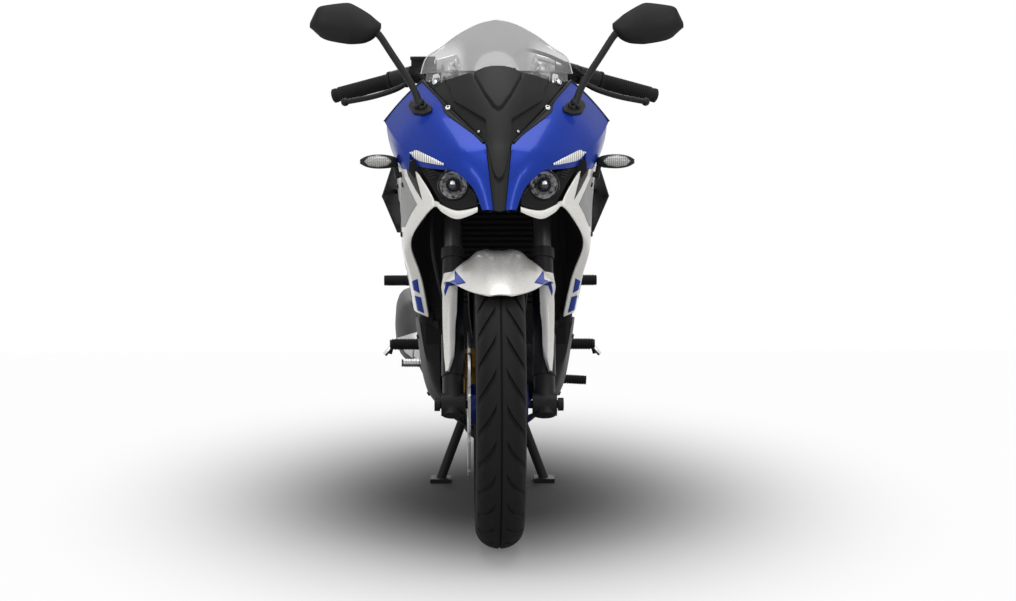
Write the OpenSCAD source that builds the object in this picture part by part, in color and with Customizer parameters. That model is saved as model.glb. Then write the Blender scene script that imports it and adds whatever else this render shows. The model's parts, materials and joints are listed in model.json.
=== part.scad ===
// Fully faired sport bike standing on its centre stand.
// The bike faces -Y, its left side is +X and the ground is z = 0.

/* [Overall] */
// Distance between the wheel axles
wheelbase = 1345; // [1330:1:1365]
// Distance of the plate holder's tip behind the rear tyre
plate_reach = 51; // [40:1:80]
// Gap under the rear tyre while the centre stand carries the bike
rear_lift = 12; // [6:1:20]

/* [Wheels] */
// Outside diameter of the front tyre
front_tyre_d = 592; // [580:1:600]
// Width of the front tyre
front_tyre_w = 100; // [94:1:106]
// Outside diameter of the rear tyre
rear_tyre_d = 614; // [604:1:622]
// Width of the rear tyre
rear_tyre_w = 130; // [122:1:136]
// Bead seat diameter of both rims
rim_d = 432; // [428:1:436]
// Width of the front rim over its flanges
front_rim_w = 72; // [66:1:76]
// Width of the rear rim over its flanges
rear_rim_w = 100; // [92:1:106]
// Thickness of the rim ring under the bead seat
rim_t = 26; // [20:1:32]
// Number of twin spokes in each wheel
spoke_pairs = 5; // [4:1:6]
// Thickness of a spoke along the axle
spoke_t = 24; // [18:1:28]
// Radius of the wheel hubs
hub_r = 42; // [36:1:46]

/* [Brakes and drive] */
// Diameter of the front brake disc
front_disc_d = 300; // [280:1:310]
// Diameter of the rear brake disc
rear_disc_d = 230; // [210:1:240]
// Thickness of the brake discs
disc_t = 5; // [4:0.5:6]
// Distance of the front disc from the middle plane
front_disc_x = 62; // [60:1:66]
// Distance of the rear disc from the middle plane
rear_disc_x = 72; // [70:1:76]
// Free gap at each side of a disc inside its caliper
pad_gap = 5; // [5:0.5:6]
// Number of teeth of the rear sprocket
rear_teeth = 42; // [38:1:46]
// Number of teeth of the front sprocket
front_teeth = 14; // [13:1:16]
// Pitch of the drive chain
chain_pitch = 12.7; // [12.5:0.1:12.9]
// Distance of the chain from the middle plane
chain_x = 84; // [82:1:88]

/* [Front end] */
// Steering angle from the vertical
rake = 25.5; // [24:0.5:27]
// Distance of the fork legs ahead of the steering axis
fork_offset = 43; // [38:1:48]
// Distance between the fork legs
fork_spacing = 188; // [184:1:194]
// Diameter of the upper fork tubes
fork_tube_d = 37; // [34:1:40]
// Diameter of the lower fork legs
fork_leg_d = 50; // [47:1:54]
// Length of a lower fork leg above the axle
fork_leg_l = 340; // [325:1:350]
// Place of the lower yoke along the fork above the axle
lower_yoke_u = 500; // [490:1:510]
// Place of the upper yoke along the fork above the axle
upper_yoke_u = 690; // [680:1:700]
// Thickness of the yokes
yoke_t = 24; // [20:1:28]
// Diameter of the steering stem
stem_d = 36; // [32:1:38]
// Diameter of the front axle
front_axle_d = 17; // [15:1:20]
// Bore of the hollow front axle
front_axle_bore = 11; // [9:1:12]
// Gap between the front tyre and its mudguard
guard_gap = 14; // [10:1:18]

/* [Handlebars] */
// Diameter of the bar tubes
bar_d = 22; // [21:0.5:23]
// Diameter of the grips
grip_d = 33; // [31:1:36]
// Length of the grips
grip_l = 126; // [118:1:132]
// Half the width over the bar ends
bar_half_w = 355; // [345:1:362]

/* [Bodywork] */
// Wall of the body panels
panel_t = 4; // [3:0.5:5]
// Wall of the windscreen
screen_t = 3.5; // [3:0.5:4]
// Radius of the headlamp lenses
lamp_r = 28; // [26:1:30]
// Half the width over the mirrors
mirror_half_w = 393; // [386:1:400]
// Width of the rider seat
seat_w = 290; // [270:1:310]
// Width of the fuel tank
tank_w = 330; // [310:1:350]

/* [Stands] */
// Distance between the outer edges of the centre stand feet
stand_w = 290; // [270:1:310]
// Distance of the feet ahead of the centre stand pivot
stand_lead = 26; // [20:1:32]
// Length of the side stand
side_stand_l = 225; // [215:1:235]

/* [Fits] */
// Gap between fixed pieces that seat on each other
seat_gap = 0.3; // [0.2:0.1:0.5]
// Radial gap between a shaft and the bore that turns on it
run_gap = 0.05; // [0.03:0.01:0.09]

/* [Hidden] */
$fn = 48;

blue = [0.10, 0.16, 0.55];
pearl = [0.88, 0.87, 0.85];
black = [0.10, 0.10, 0.10];
dark = [0.22, 0.22, 0.23];
steel = [0.72, 0.72, 0.73];
rubber = [0.14, 0.14, 0.14];
bronze = [0.55, 0.40, 0.15];
clear = [0.85, 0.88, 0.90];
smoke = [0.45, 0.45, 0.46];

front_r = front_tyre_d / 2;
rear_r = rear_tyre_d / 2;
overall_l = front_r + wheelbase + rear_r + plate_reach;
front_axle_y = -overall_l / 2 + front_r;
front_axle_z = front_r;
rear_axle_y = front_axle_y + wheelbase;
rear_axle_z = rear_r + rear_lift;
tail_end_d = overall_l - front_r;

// A place d behind the front axle and h above it.
function P(x, d, h) = [x, front_axle_y + d, front_axle_z + h];
// A place on the fork: v behind the leg axis, u along the leg above the axle.
function fork(x, v, u) =
  P(x, v * cos(rake) + u * sin(rake), u * cos(rake) - v * sin(rake));

pivot = P(0, 850, 99);
front_sprocket = P(0, 770, 104);
stand_pivot = P(0, 828, -72);
side_pivot = P(128, 752, -56);
rear_axle = [0, rear_axle_y, rear_axle_z];

// Curve through a list of points or of rows, with n steps between neighbours.
function spline(p, n) = [
  for (i = [0:len(p) - 2]) for (k = [0:n - 1])
    blend(p[max(i - 1, 0)], p[i], p[i + 1], p[min(i + 2, len(p) - 1)], k / n),
  p[len(p) - 1]];
function blend(a, b, c, d, t) =
  0.5 * (2 * b + (c - a) * t + (2 * a - 5 * b + 4 * c - d) * t * t + (3 * b - a - 3 * c + d) * t * t * t);
// Straight steps between neighbours, for panels with a crease.
function straight(p, n) = [
  for (i = [0:len(p) - 2]) for (k = [0:n - 1]) p[i] + (p[i + 1] - p[i]) * k / n,
  p[len(p) - 1]];
function unit(v) = v / norm(v);
function flip(g) = [for (i = [len(g) - 1:-1:0]) g[i]];
function mean(r) = [for (k = [0:2]) [for (p = r) p[k]] * [for (p = r) 1 / len(r)]];
function normal_at(g, i, j) =
  unit(cross(g[min(i + 1, len(g) - 1)][j] - g[max(i - 1, 0)][j],
    g[i][min(j + 1, len(g[0]) - 1)] - g[i][max(j - 1, 0)]));
function sunk(g, t) =
  [for (i = [0:len(g) - 1]) [for (j = [0:len(g[0]) - 1]) g[i][j] - normal_at(g, i, j) * t]];
function mirrored(g) = [for (r = g) [for (p = r) [-p[0], p[1], p[2]]]];
// The full width of a grid whose rows start at the middle plane.
function both_sides(g) = [for (r = g) concat([for (j = [len(r) - 1:-1:1]) [-r[j][0], r[j][1], r[j][2]]], r)];

// Closed solid between an outer grid and an inner grid of the same size.
module sheet(outer, inner) {
  m = len(outer);
  n = len(outer[0]);
  function id(i, j, k) = k * m * n + i * n + j;
  function quad(a, b, c, d) = [[a, b, c], [a, c, d]];
  polyhedron(
    concat([for (r = outer) each r], [for (r = inner) each r]),
    concat(
      [for (i = [0:m - 2]) for (j = [0:n - 2])
        each quad(id(i, j, 0), id(i, j + 1, 0), id(i + 1, j + 1, 0), id(i + 1, j, 0))],
      [for (i = [0:m - 2]) for (j = [0:n - 2])
        each quad(id(i, j, 1), id(i + 1, j, 1), id(i + 1, j + 1, 1), id(i, j + 1, 1))],
      [for (j = [0:n - 2]) each quad(id(0, j + 1, 0), id(0, j, 0), id(0, j, 1), id(0, j + 1, 1))],
      [for (j = [0:n - 2])
        each quad(id(m - 1, j, 0), id(m - 1, j + 1, 0), id(m - 1, j + 1, 1), id(m - 1, j, 1))],
      [for (i = [0:m - 2]) each quad(id(i, 0, 0), id(i + 1, 0, 0), id(i + 1, 0, 1), id(i, 0, 1))],
      [for (i = [0:m - 2])
        each quad(id(i + 1, n - 1, 0), id(i, n - 1, 0), id(i, n - 1, 1), id(i + 1, n - 1, 1))]));
}
// A panel of wall t behind its outer face.
module panel(g, t) {
  sheet(g, sunk(g, t));
}
// A block whose front face is the grid and whose back is the same face moved by v.
module slab(g, v) {
  i = floor(len(g) / 2);
  j = floor(len(g[0]) / 2);
  s = normal_at(g, i, j) * v > 0 ? flip(g) : g;
  sheet(s, [for (r = s) [for (p = r) p + v]]);
}
// A closed body through rings that all have the same number of points.
module loft(rings) {
  k = floor(len(rings) / 2) - 1;
  n = len(rings[0]);
  out = cross(rings[k + 1][0] - rings[k][0], rings[k][1] - rings[k][n - 1]);
  s = out * (rings[k][0] - mean(rings[k])) < 0 ? flip(rings) : rings;
  m = len(s);
  polyhedron(
    concat([for (r = s) each r], [mean(s[0]), mean(s[m - 1])]),
    concat(
      [for (i = [0:m - 2]) for (j = [0:n - 1])
        each [[i * n + j, i * n + (j + 1) % n, (i + 1) * n + (j + 1) % n],
          [i * n + j, (i + 1) * n + (j + 1) % n, (i + 1) * n + j]]],
      [for (j = [0:n - 1]) [(j + 1) % n, j, m * n]],
      [for (j = [0:n - 1]) [(m - 1) * n + j, (m - 1) * n + (j + 1) % n, m * n + 1]]));
}
// Rings of one profile carried along a path, its first axis square to the path and to ref.
function carried(path, profile, ref) = [
  for (i = [0:len(path) - 1])
    let (t = unit(path[min(i + 1, len(path) - 1)] - path[max(i - 1, 0)]),
      a = unit(cross(t, ref)),
      b = cross(a, t))
      [for (q = profile) path[i] + a * q[0] + b * q[1]]];
function ring(r, n) = [for (i = [0:n - 1]) [r * cos(360 * i / n), r * sin(360 * i / n)]];
function box_ring(w, h, c) = [
  [w / 2, h / 2 - c], [w / 2 - c, h / 2], [c - w / 2, h / 2], [-w / 2, h / 2 - c],
  [-w / 2, c - h / 2], [c - w / 2, -h / 2], [w / 2 - c, -h / 2], [w / 2, c - h / 2]];
// A round tube or cable along a path.
module pipe(path, r, ref = [1, 0, 0], n = 12) {
  loft(carried(path, ring(r, n), ref));
}
// A straight round bar between two points.
module rod(a, b, r) {
  v = b - a;
  translate(a)
    rotate([0, acos(v[2] / norm(v)), atan2(v[1], v[0])])
      cylinder(r = r, h = norm(v));
}
// A round bar across the bike, from x0 to x1 at a place.
module cross_bar(x0, x1, p, r) {
  translate([x0, p[1], p[2]])
    rotate([0, 90, 0])
      cylinder(r = r, h = x1 - x0);
}
// A flat plate in the side plane from x0 to x1, its outline given as places.
module plate(x0, x1, outline) {
  translate([x0, 0, 0])
    rotate([90, 0, 90])
      linear_extrude(x1 - x0)
        polygon([for (p = outline) [p[1], p[2]]]);
}
module sides() {
  for (s = [0, 1])
    mirror([s, 0, 0])
      children();
}
// Carries fork pieces from their own axes: z along the leg, y behind it.
module on_fork() {
  translate([0, front_axle_y, front_axle_z])
    rotate([-rake, 0, 0])
      children();
}
module on_wheel(place) {
  translate(place)
    rotate([0, 90, 0])
      children();
}

// Wheels
function tyre_profile(r, w, bead_w, crown) = let (bead_r = rim_d / 2 + seat_gap) concat(
  [[bead_r, bead_w / 2 - seat_gap], [bead_r + 14, bead_w / 2 - seat_gap], [bead_r + 24, bead_w / 2 + 5]],
  [for (a = [0:10:180]) [r - crown + crown * sin(a), w / 2 * cos(a)]],
  [[bead_r + 24, -bead_w / 2 - 5], [bead_r + 14, seat_gap - bead_w / 2], [bead_r, seat_gap - bead_w / 2]]);
module tyre(r, w, rim_w, crown) {
  rotate_extrude()
    polygon(tyre_profile(r, w, rim_w - 2 * flange_t, crown));
}
flange_t = 5;
flange_h = 11;
module rim(rim_w, hub_half, bore_r) {
  bead_r = rim_d / 2;
  inner = bead_r - rim_t;
  difference() {
    union() {
      rotate_extrude()
        polygon([
          [inner, -15], [inner + 8, -rim_w / 2 + 8], [bead_r - 6, -rim_w / 2],
          [bead_r + flange_h, -rim_w / 2],
          [bead_r + flange_h, flange_t - rim_w / 2], [bead_r, flange_t - rim_w / 2], [bead_r - 12, -16],
          [bead_r - 12, 16], [bead_r, rim_w / 2 - flange_t], [bead_r + flange_h, rim_w / 2 - flange_t],
          [bead_r + flange_h, rim_w / 2], [bead_r - 6, rim_w / 2], [inner + 8, rim_w / 2 - 8], [inner, 15]]);
      for (i = [0:spoke_pairs - 1])
        for (side = [-1, 1])
          rotate(360 * i / spoke_pairs)
            translate([0, 0, -spoke_t / 2])
              linear_extrude(spoke_t)
                polygon([
                  [hub_r - 10, side * 2], [hub_r - 10, side * 22], [inner + 4, side * 68],
                  [inner + 10, side * 44], [hub_r + 40, side * 10]]);
      translate([0, 0, -hub_half])
        cylinder(r = hub_r, h = 2 * hub_half);
    }
    translate([0, 0, -hub_half - 1])
      cylinder(r = bore_r, h = 2 * hub_half + 2);
  }
}
disc_band = 34;
module disc(d, x) {
  r = d / 2;
  translate([0, 0, x])
    difference() {
      translate([0, 0, -disc_t / 2])
        cylinder(r = r, h = disc_t);
      for (i = [0:9])
        rotate(36 * i) {
          translate([r + 9, 0, -disc_t])
            cylinder(r = 14, h = 2 * disc_t);
          for (k = [0, 1])
            rotate(9 + 14 * k)
              translate([r - 9 - 14 * k, 0, -disc_t])
                cylinder(r = 4, h = 2 * disc_t);
        }
      for (i = [0:4])
        rotate(72 * i)
          translate([0, 0, -disc_t])
            linear_extrude(2 * disc_t)
              polygon([for (a = [12:8:60]) (r - disc_band) * [cos(a), sin(a)], for (a = [52:-8:20])
                (hub_r + 12) * [cos(a), sin(a)]]);
      translate([0, 0, -disc_t])
        cylinder(r = hub_r - 14, h = 2 * disc_t);
    }
}
front_hub_half = front_disc_x - disc_t / 2 - seat_gap;
rear_hub_half = rear_disc_x - disc_t / 2 - seat_gap;
module front_tyre() {
  color(rubber)
    on_wheel(P(0, 0, 0))
      tyre(front_r, front_tyre_w, front_rim_w, 44);
}
module front_rim() {
  color(blue)
    on_wheel(P(0, 0, 0))
      rim(front_rim_w, front_hub_half, front_axle_d / 2 + run_gap);
}
module front_disc() {
  color(steel)
    on_wheel(P(0, 0, 0))
      disc(front_disc_d, -front_disc_x);
}
module rear_tyre() {
  color(rubber)
    on_wheel(rear_axle)
      tyre(rear_r, rear_tyre_w, rear_rim_w, 50);
}
rear_axle_d = 20;
sprocket_t = 7;
function pitch_r(teeth) = chain_pitch / 2 / sin(180 / teeth);
module rear_rim() {
  color(blue)
    on_wheel(rear_axle)
      rim(rear_rim_w, rear_hub_half, rear_axle_d / 2 + run_gap);
}
chain_gap = 5;
tooth_h = 4;
module sprocket(teeth) {
  r = pitch_r(teeth) - chain_gap;
  linear_extrude(sprocket_t, center = true)
    polygon([for (i = [0:teeth - 1]) each [
      (r - tooth_h) * [cos(360 * i / teeth), sin(360 * i / teeth)],
      (r - tooth_h) * [cos(360 * (i + 0.25) / teeth), sin(360 * (i + 0.25) / teeth)],
      r * [cos(360 * (i + 0.5) / teeth), sin(360 * (i + 0.5) / teeth)],
      r * [cos(360 * (i + 0.75) / teeth), sin(360 * (i + 0.75) / teeth)]]]);
}
module rear_disc() {
  color(steel)
    on_wheel(rear_axle) {
      disc(rear_disc_d, -rear_disc_x);
      translate([0, 0, chain_x])
        difference() {
          union() {
            sprocket(rear_teeth);
            translate([0, 0, rear_hub_half + seat_gap - chain_x])
              cylinder(r = hub_r, h = chain_x - rear_hub_half - seat_gap);
          }
          translate([0, 0, -chain_x])
            cylinder(r = rear_axle_d / 2 + run_gap, h = 2 * chain_x);
          for (i = [0:4])
            rotate(72 * i)
              translate([pitch_r(rear_teeth) * 0.72, 0, -sprocket_t])
                cylinder(r = 11, h = 2 * sprocket_t);
        }
    }
}

// Fork and steering
leg_x = fork_spacing / 2;
axle_end = leg_x + fork_leg_d / 2 + 14;
module front_axle() {
  color(steel)
    difference() {
      union() {
        cross_bar(-axle_end, axle_end, P(0, 0, 0), front_axle_d / 2);
        for (s = [-1, 1])
          cross_bar(s * (axle_end - 6) - 6, s * (axle_end - 6) + 6, P(0, 0, 0), front_axle_d / 2 + 5);
      }
      cross_bar(-axle_end - 1, axle_end + 1, P(0, 0, 0), front_axle_bore / 2);
    }
}
collar_h = 22;
tube_depth = 200;
module fork_legs() {
  color(dark)
    on_fork()
      sides()
        difference() {
          translate([leg_x, 0, 0])
            union() {
              translate([0, 0, -24])
                cylinder(r = fork_leg_d / 2 - 3, h = fork_leg_l + 24);
              translate([0, 0, fork_leg_l - collar_h])
                cylinder(r = fork_leg_d / 2, h = collar_h);
              translate([0, 0, 60])
                cylinder(r = fork_leg_d / 2 - 1, h = 90);
              translate([-fork_leg_d / 2, 0, 0])
                rotate([0, 90, 0])
                  cylinder(r = 24, h = fork_leg_d);
            }
          rotate([0, 90, 0])
            cylinder(r = front_axle_d / 2 + run_gap, h = 300);
          translate([leg_x, 0, fork_leg_l - tube_depth])
            cylinder(r = fork_tube_d / 2 + run_gap, h = tube_depth + 1);
        }
}
tube_top_u = upper_yoke_u + 42;
module fork_tubes() {
  color(steel)
    on_fork()
      sides()
        translate([leg_x, 0, fork_leg_l - tube_depth + seat_gap])
          cylinder(r = fork_tube_d / 2, h = tube_top_u - fork_leg_l + tube_depth - seat_gap);
}
clamp_wall = 11;
module yoke(u) {
  clamp_r = fork_tube_d / 2 + clamp_wall;
  translate([0, 0, u])
    difference() {
      linear_extrude(yoke_t)
        union() {
          for (s = [-1, 1])
            translate([s * leg_x, 0])
              circle(clamp_r);
          translate([0, fork_offset])
            circle(stem_d / 2 + 12);
          polygon([[-leg_x, -14], [leg_x, -14], [leg_x, 14], [20, fork_offset + 26], [-20, fork_offset + 26],
            [-leg_x, 14]]);
        }
      for (s = [-1, 1])
        translate([s * leg_x, 0, -1])
          cylinder(r = fork_tube_d / 2 + run_gap, h = yoke_t + 2);
    }
}
module yokes() {
  color(black)
    on_fork()
      union() {
        yoke(lower_yoke_u);
        yoke(upper_yoke_u);
        translate([0, fork_offset, lower_yoke_u + 2])
          cylinder(r = stem_d / 2, h = upper_yoke_u - lower_yoke_u);
      }
}
guard_r = front_r + guard_gap;
// Arch of the mudguard: angle from the top, towards the rear; half width; drop of the side
guard_arch = [
  [-38.5, 22, 3], [-33, 50, 21], [-24, 74, 40], [-14, 92, 50], [-3, 106, 58], [7, 112, 64], [11, 108, 66],
  [16, 62, 54], [25, 60, 54], [50, 58, 50], [68, 50, 36]];
function guard_row(a, w, drop) = [
  for (k = [0:8]) let (q = k / 4 - 1, r = guard_r + panel_t - drop * pow(abs(q), 2.2))
    P(w * q, r * sin(a), r * cos(a))];
// Blades down the fork legs: inner edge, outer edge, each as side place, place ahead, place up the leg
blade_rows = [[[82, -74, 262], [113, -70, 262]], [[86, -50, 218], [122, -42, 218]],
  [[88, -40, 176], [123, -35, 176]], [[94, -35, 124], [120, -32, 124]], [[103, -32, 62], [110, -31, 62]]];
module front_guard() {
  color(pearl)
    union() {
      panel(spline([for (g = guard_arch) guard_row(g[0], g[1], g[2])], 2), panel_t);
      sides() {
        slab(spline([for (q = blade_rows) [for (k = [0:3]) let (p = q[0] + (q[1] - q[0]) * k / 3)
          fork(p[0], p[1] - 7 * sin(60 * k), p[2])]], 3), fork(0, 7, 0) - fork(0, 0, 0));
        rod(fork(leg_x, -fork_leg_d / 2 + 3 - seat_gap, 190), fork(leg_x, -40, 190), 7);
      }
    }
}
cal_in = disc_t / 2 + pad_gap;
module caliper(at, turn, body_r, depth) {
  translate(at)
    rotate([turn, 0, 0])
      for (s = [-1, 1])
        difference() {
          union() {
            translate([s > 0 ? cal_in : -cal_in - 14, -body_r, 0])
              cube([14, 2 * body_r, depth]);
            translate([s > 0 ? -0.01 : -cal_in - 14, -body_r + 6, depth - 10])
              cube([cal_in + 14, 2 * body_r - 12, 14]);
            for (k = [-1, 1])
              translate([s * (cal_in + 7), k * body_r * 0.45, depth * 0.45])
                rotate([0, 90, 0])
                  cylinder(r = 15, h = 22, center = true);
          }
          translate([-cal_in, -2 * body_r, -1])
            cube([2 * cal_in, 4 * body_r, depth * 0.72]);
        }
}
module front_caliper() {
  color(bronze)
    union() {
      translate([-front_disc_x, 0, 0])
        caliper(P(0, 80, 36), -66, 36, 78);
      rod(fork(-80, fork_leg_d / 2 - 1.4, 98), fork(-80, 52, 98), 8);
    }
}
bar_in = P(82, 345, 692);
bar_out = P(bar_half_w - 12, 437, 620);
function bar_at(x) = bar_in + (bar_out - bar_in) * (x - bar_in[0]) / (bar_out[0] - bar_in[0]);
function bar_dir() = unit(bar_out - bar_in);
clip_x = leg_x + 8;
module clip_ons() {
  color(steel)
    sides()
      difference() {
        union() {
          rod(bar_in, bar_out, bar_d / 2);
          on_fork()
            translate([leg_x, 0, upper_yoke_u + yoke_t + seat_gap])
              cylinder(r = fork_tube_d / 2 + 8, h = 26);
          rod(bar_at(clip_x) - bar_dir() * 22, bar_at(clip_x) + bar_dir() * 22, bar_d / 2 + 8);
          rod(fork(leg_x + 4, -10, upper_yoke_u + 42), bar_at(clip_x + 2), 15);
        }
        on_fork()
          translate([leg_x, 0, upper_yoke_u])
            cylinder(r = fork_tube_d / 2 + run_gap, h = 44);
      }
}
grip_end_x = bar_half_w - 16;
module grips() {
  a = bar_at(grip_end_x);
  b = a - bar_dir() * grip_l;
  color(rubber)
    sides()
      difference() {
        union() {
          rod(b, a, grip_d / 2);
          rod(b, b + bar_dir() * 6, grip_d / 2 + 4);
          rod(a - bar_dir(), bar_at(bar_half_w - 3), grip_d / 2 - 2);
        }
        rod(b - bar_dir(), bar_out + bar_dir() * seat_gap, bar_d / 2 + run_gap);
      }
}
perch_x = 178;
switch_end_x = 222;
module reservoir() {
  translate(bar_at(perch_x - 20)) {
    translate([-26, -16, -4])
      cube([50, 44, 32]);
    translate([-28, -18, 27])
      cube([54, 48, 7]);
  }
}
module levers() {
  ball = bar_at(bar_half_w - 30) + [0, -56, -18];
  color(black)
    for (s = [0, 1])
      mirror([s, 0, 0])
        union() {
          difference() {
            union() {
              rod(bar_at(perch_x), bar_at(switch_end_x), bar_d / 2 + 9);
              rod(bar_at(perch_x - 34), bar_at(perch_x - 4), bar_d / 2 + 10);
              rod(bar_at(perch_x - 6), bar_at(perch_x + 2), bar_d / 2 + 6);
              rod(bar_at(perch_x + 10) + [0, -12, -4], bar_at(perch_x + 14) + [0, -44, -14], 9);
              if (s == 1)
                reservoir();
            }
            rod(bar_at(perch_x - 60), bar_at(switch_end_x + 20), bar_d / 2 + run_gap);
          }
          pipe(spline([bar_at(perch_x + 12) + [0, -40, -13], bar_at(perch_x + 40) + [0, -62, -20],
            bar_at(perch_x + 90) + [0, -64, -22], ball], 4), 6, [0, 0, 1], 8);
          translate(ball)
            sphere(9);
        }
}
// The brake hose runs down outside the fork tubes.
hose_clear = 43;
hose_x = fork_spacing / 2 + hose_clear;
module hoses() {
  color(black) {
    pipe(spline([bar_at(170) + [-340, -30, 2], P(-hose_x - 13, 318, 654), fork(-hose_x - 1, -6, 640),
      fork(-hose_x, -2, 560),
      fork(-hose_x, 2, 420), fork(-hose_x + 3, 14, 330), fork(-106, 42, 220), fork(-78, 38, 146),
      fork(-76.5, 57.6, 125.7)], 3), 5, [0, 1, 0], 8);
    pipe(spline([bar_at(190) + [0, -50, 2], P(150, 340, 690), P(100, 326, 712), P(50, 318, 718),
      fork(30, 10, upper_yoke_u + yoke_t + 24), fork(30, 10, upper_yoke_u + yoke_t + 10),
      fork(30, 10, upper_yoke_u + yoke_t + 2 * seat_gap)], 4),
      4.5, [0, 1, 0], 8);
  }
}

// Frame, engine and swingarm
head_half = (upper_yoke_u - lower_yoke_u - yoke_t) / 2;
head_mid_u = (upper_yoke_u + lower_yoke_u + yoke_t) / 2;
beam_x = 132;
module frame() {
  color(dark) {
    difference() {
      union() {
        on_fork()
          translate([0, fork_offset, head_mid_u - head_half + 6])
            cylinder(r = stem_d / 2 + 12, h = 2 * head_half - 12);
        sides()
          loft(carried(spline([fork(10, fork_offset + 26, head_mid_u), P(70, 392, 530),
            P(beam_x - 4, 462, 420), P(beam_x, 570, 350), P(beam_x - 4, 720, 230),
            P(beam_x - 16, 836, 112)], 3),
            box_ring(70, 34, 8), [1, 0, 0]));
        cross_bar(-beam_x + 14, beam_x - 14, P(0, 806, 186), 17);
        sides() {
          plate(57, 67, [P(0, 800, 192), P(0, 826, 192), P(0, 872, 140), P(0, 872, 40), P(0, 846, -66),
            P(0, 830, -88), P(0, 812, -78), P(0, 806, 0)]);
          plate(98, 122, [P(0, 806, 150), P(0, 872, 150), P(0, 904, 148), P(0, 902, 116), P(0, 876, 70),
            P(0, 862, 8), P(0, 800, 8), P(0, 806, 90)]);
          cross_bar(92, beam_x - 14, P(0, 742, 212), 13);
          rod(P(97, 742, 212), rail_a, 12);
          rod(rail_a, rail_b, 11);
          translate(rail_a)
            sphere(12.1);
          cross_bar(116, 134, P(0, 890, 132), 12);
          rod(P(128, 890, 132), P(88, 1020, 400), 10);
          cross_bar(rad_w / 2 + seat_gap, rad_w / 2 + 24, P(0, 372, 330), 7);
          rod(P(rad_w / 2 + 17, 372, 330), P(beam_x + 4, 474, 400), 6);
          rod(P(30, 806, 186), shock_top + [30, 0, 0], 9);
          rod(P(beam_x - 12, 600, 344), P(90, 600, 414), 9);
          rod(P(90, 600, 408), P(90, 600, tank_low - seat_gap), 9);
          peg(P(beam_x, 560, 356), wing_grid, 4, 2, panel_t + 1.3);
          peg(P(beam_x - 4, 470, 412), fairing_grid, 4, 4, panel_t + 0.4);
        }
        plate(engine_left + seat_gap, hanger_x, engine_hanger);
        plate(-hanger_x, -engine_right - seat_gap, engine_hanger);
        cross_bar(-38, 38, shock_top, stand_pin_r);
        cross_bar(-66, 66, stand_pivot, stand_pin_r);
        plate(64, 74, [P(0, 858, 20), P(0, 830, -88), P(0, 770, -110), P(0, 736, -106), P(0, 732, -60),
          P(0, 806, 0)]);
        rod(side_pivot - side_axis() * 68, side_pivot - side_axis() * 12.5, 12);
        rod(side_pivot - side_axis() * 16, side_pivot + side_axis() * 16, side_pin_r);
      }
      on_fork()
        translate([0, fork_offset, lower_yoke_u])
          cylinder(r = stem_d / 2 + run_gap, h = upper_yoke_u - lower_yoke_u + 40);
      cross_bar(-140, 140, pivot, pivot_pin_r + run_gap);
    }
  }
}
// A stay from a place to the inner face of a panel, square to the panel at its end.
module peg(from, g, i, j, t = panel_t) {
  p = g[i][j];
  n = normal_at(g, i, j);
  rod(p - n * (t + seat_gap), p - n * (t + 14), 5);
  rod(p - n * (t + 10), from, 4.2);
}
shock_top = P(0, 836, 300);
// Side outline of the two plates that hold the engine, and their outer faces
engine_hanger = [P(0, 664, 284), P(0, 716, 238), P(0, 726, 122), P(0, 690, 122)];
hanger_x = 118;
engine_left = 62;
engine_right = 92;
rail_a = P(96, 900, 396.9);
rail_b = P(84, 1056, 416);
function rail_at(d) = rail_a + (rail_b - rail_a) * (d - 900) / 156;
pivot_pin_r = 11;
stand_pin_r = 8;
side_pin_r = 7;
// The side stand swings from lying back along the bike to a splayed leg.
side_rest = unit([0.06, 1, -0.03]);
side_down = unit([0.55, -0.22, -0.80]);
function side_axis() = unit(cross(side_rest, side_down)) * -1;
cylinder_at = P(0, 572, 90);
cylinder_lean = 10;
module engine() {
  color(dark) {
    plate(-engine_right, engine_left, [P(0, 500, -40), P(0, 512, 90), P(0, 580, 130), P(0, 760, 150),
      P(0, 784, 90), P(0, 788, -10), P(0, 730, -82), P(0, 560, -82)]);
    translate(cylinder_at)
      rotate([cylinder_lean, 0, 0]) {
        difference() {
          translate([-58, -62, 0])
            cube([116, 124, 210]);
          for (i = [0:6])
            for (s = [-1, 1])
              translate([s * 58 - 7, -80, 40 + 15 * i])
                cube([14, 160, 6]);
        }
        translate([-72, -70, 206])
          cube([144, 140, 42]);
      }
    cross_bar(-122, -88, P(0, 640, 14), 76);
    cross_bar(-116, -84, P(0, 730, 56), 48);
    cross_bar(60, 112, P(0, 610, 0), 74);
    sides()
      peg(P(100, 610, 16), belly_half, 4, 3, panel_t + 0.6);
  }
}
rad_w = 280;
module radiator() {
  color(black)
    translate(P(0, 344, 148))
      rotate([-4, 0, 0])
        difference() {
          union() {
            translate([-rad_w / 2, 0, 0])
              cube([rad_w, 34, 240]);
            for (s = [-1, 1])
              translate([s * (rad_w / 2 - 12) - 12, -5, -6])
                cube([24, 44, 252]);
            translate([0, 46, 120])
              rotate([90, 0, 0])
                cylinder(r = 95, h = 16);
          }
          for (i = [0:18])
            translate([-rad_w / 2 + 26, -1, 12 + 12 * i])
              cube([rad_w - 52, 10, 5]);
        }
}
// A place on the front of the cylinder head, q ahead of it.
function port(q) = cylinder_at + [0, -(70 + q) * cos(cylinder_lean) - 222 * sin(cylinder_lean),
  222 * cos(cylinder_lean) - (70 + q) * sin(cylinder_lean)];
function header_path() = spline([port(seat_gap), port(8), port(18), P(-5, 438, 250), P(-10, 440, 150),
  P(-16, 450, 20), P(-24, 478, -70), P(-34, 550, -103), P(-44, 630, -103), P(-66, 720, -103),
  P(-120, 800, -78), P(-160, 838, -10), P(-164, 852, -2), P(-164, 864, -2),
  P(-164, 876 - seat_gap, -2)], 3);
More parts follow.
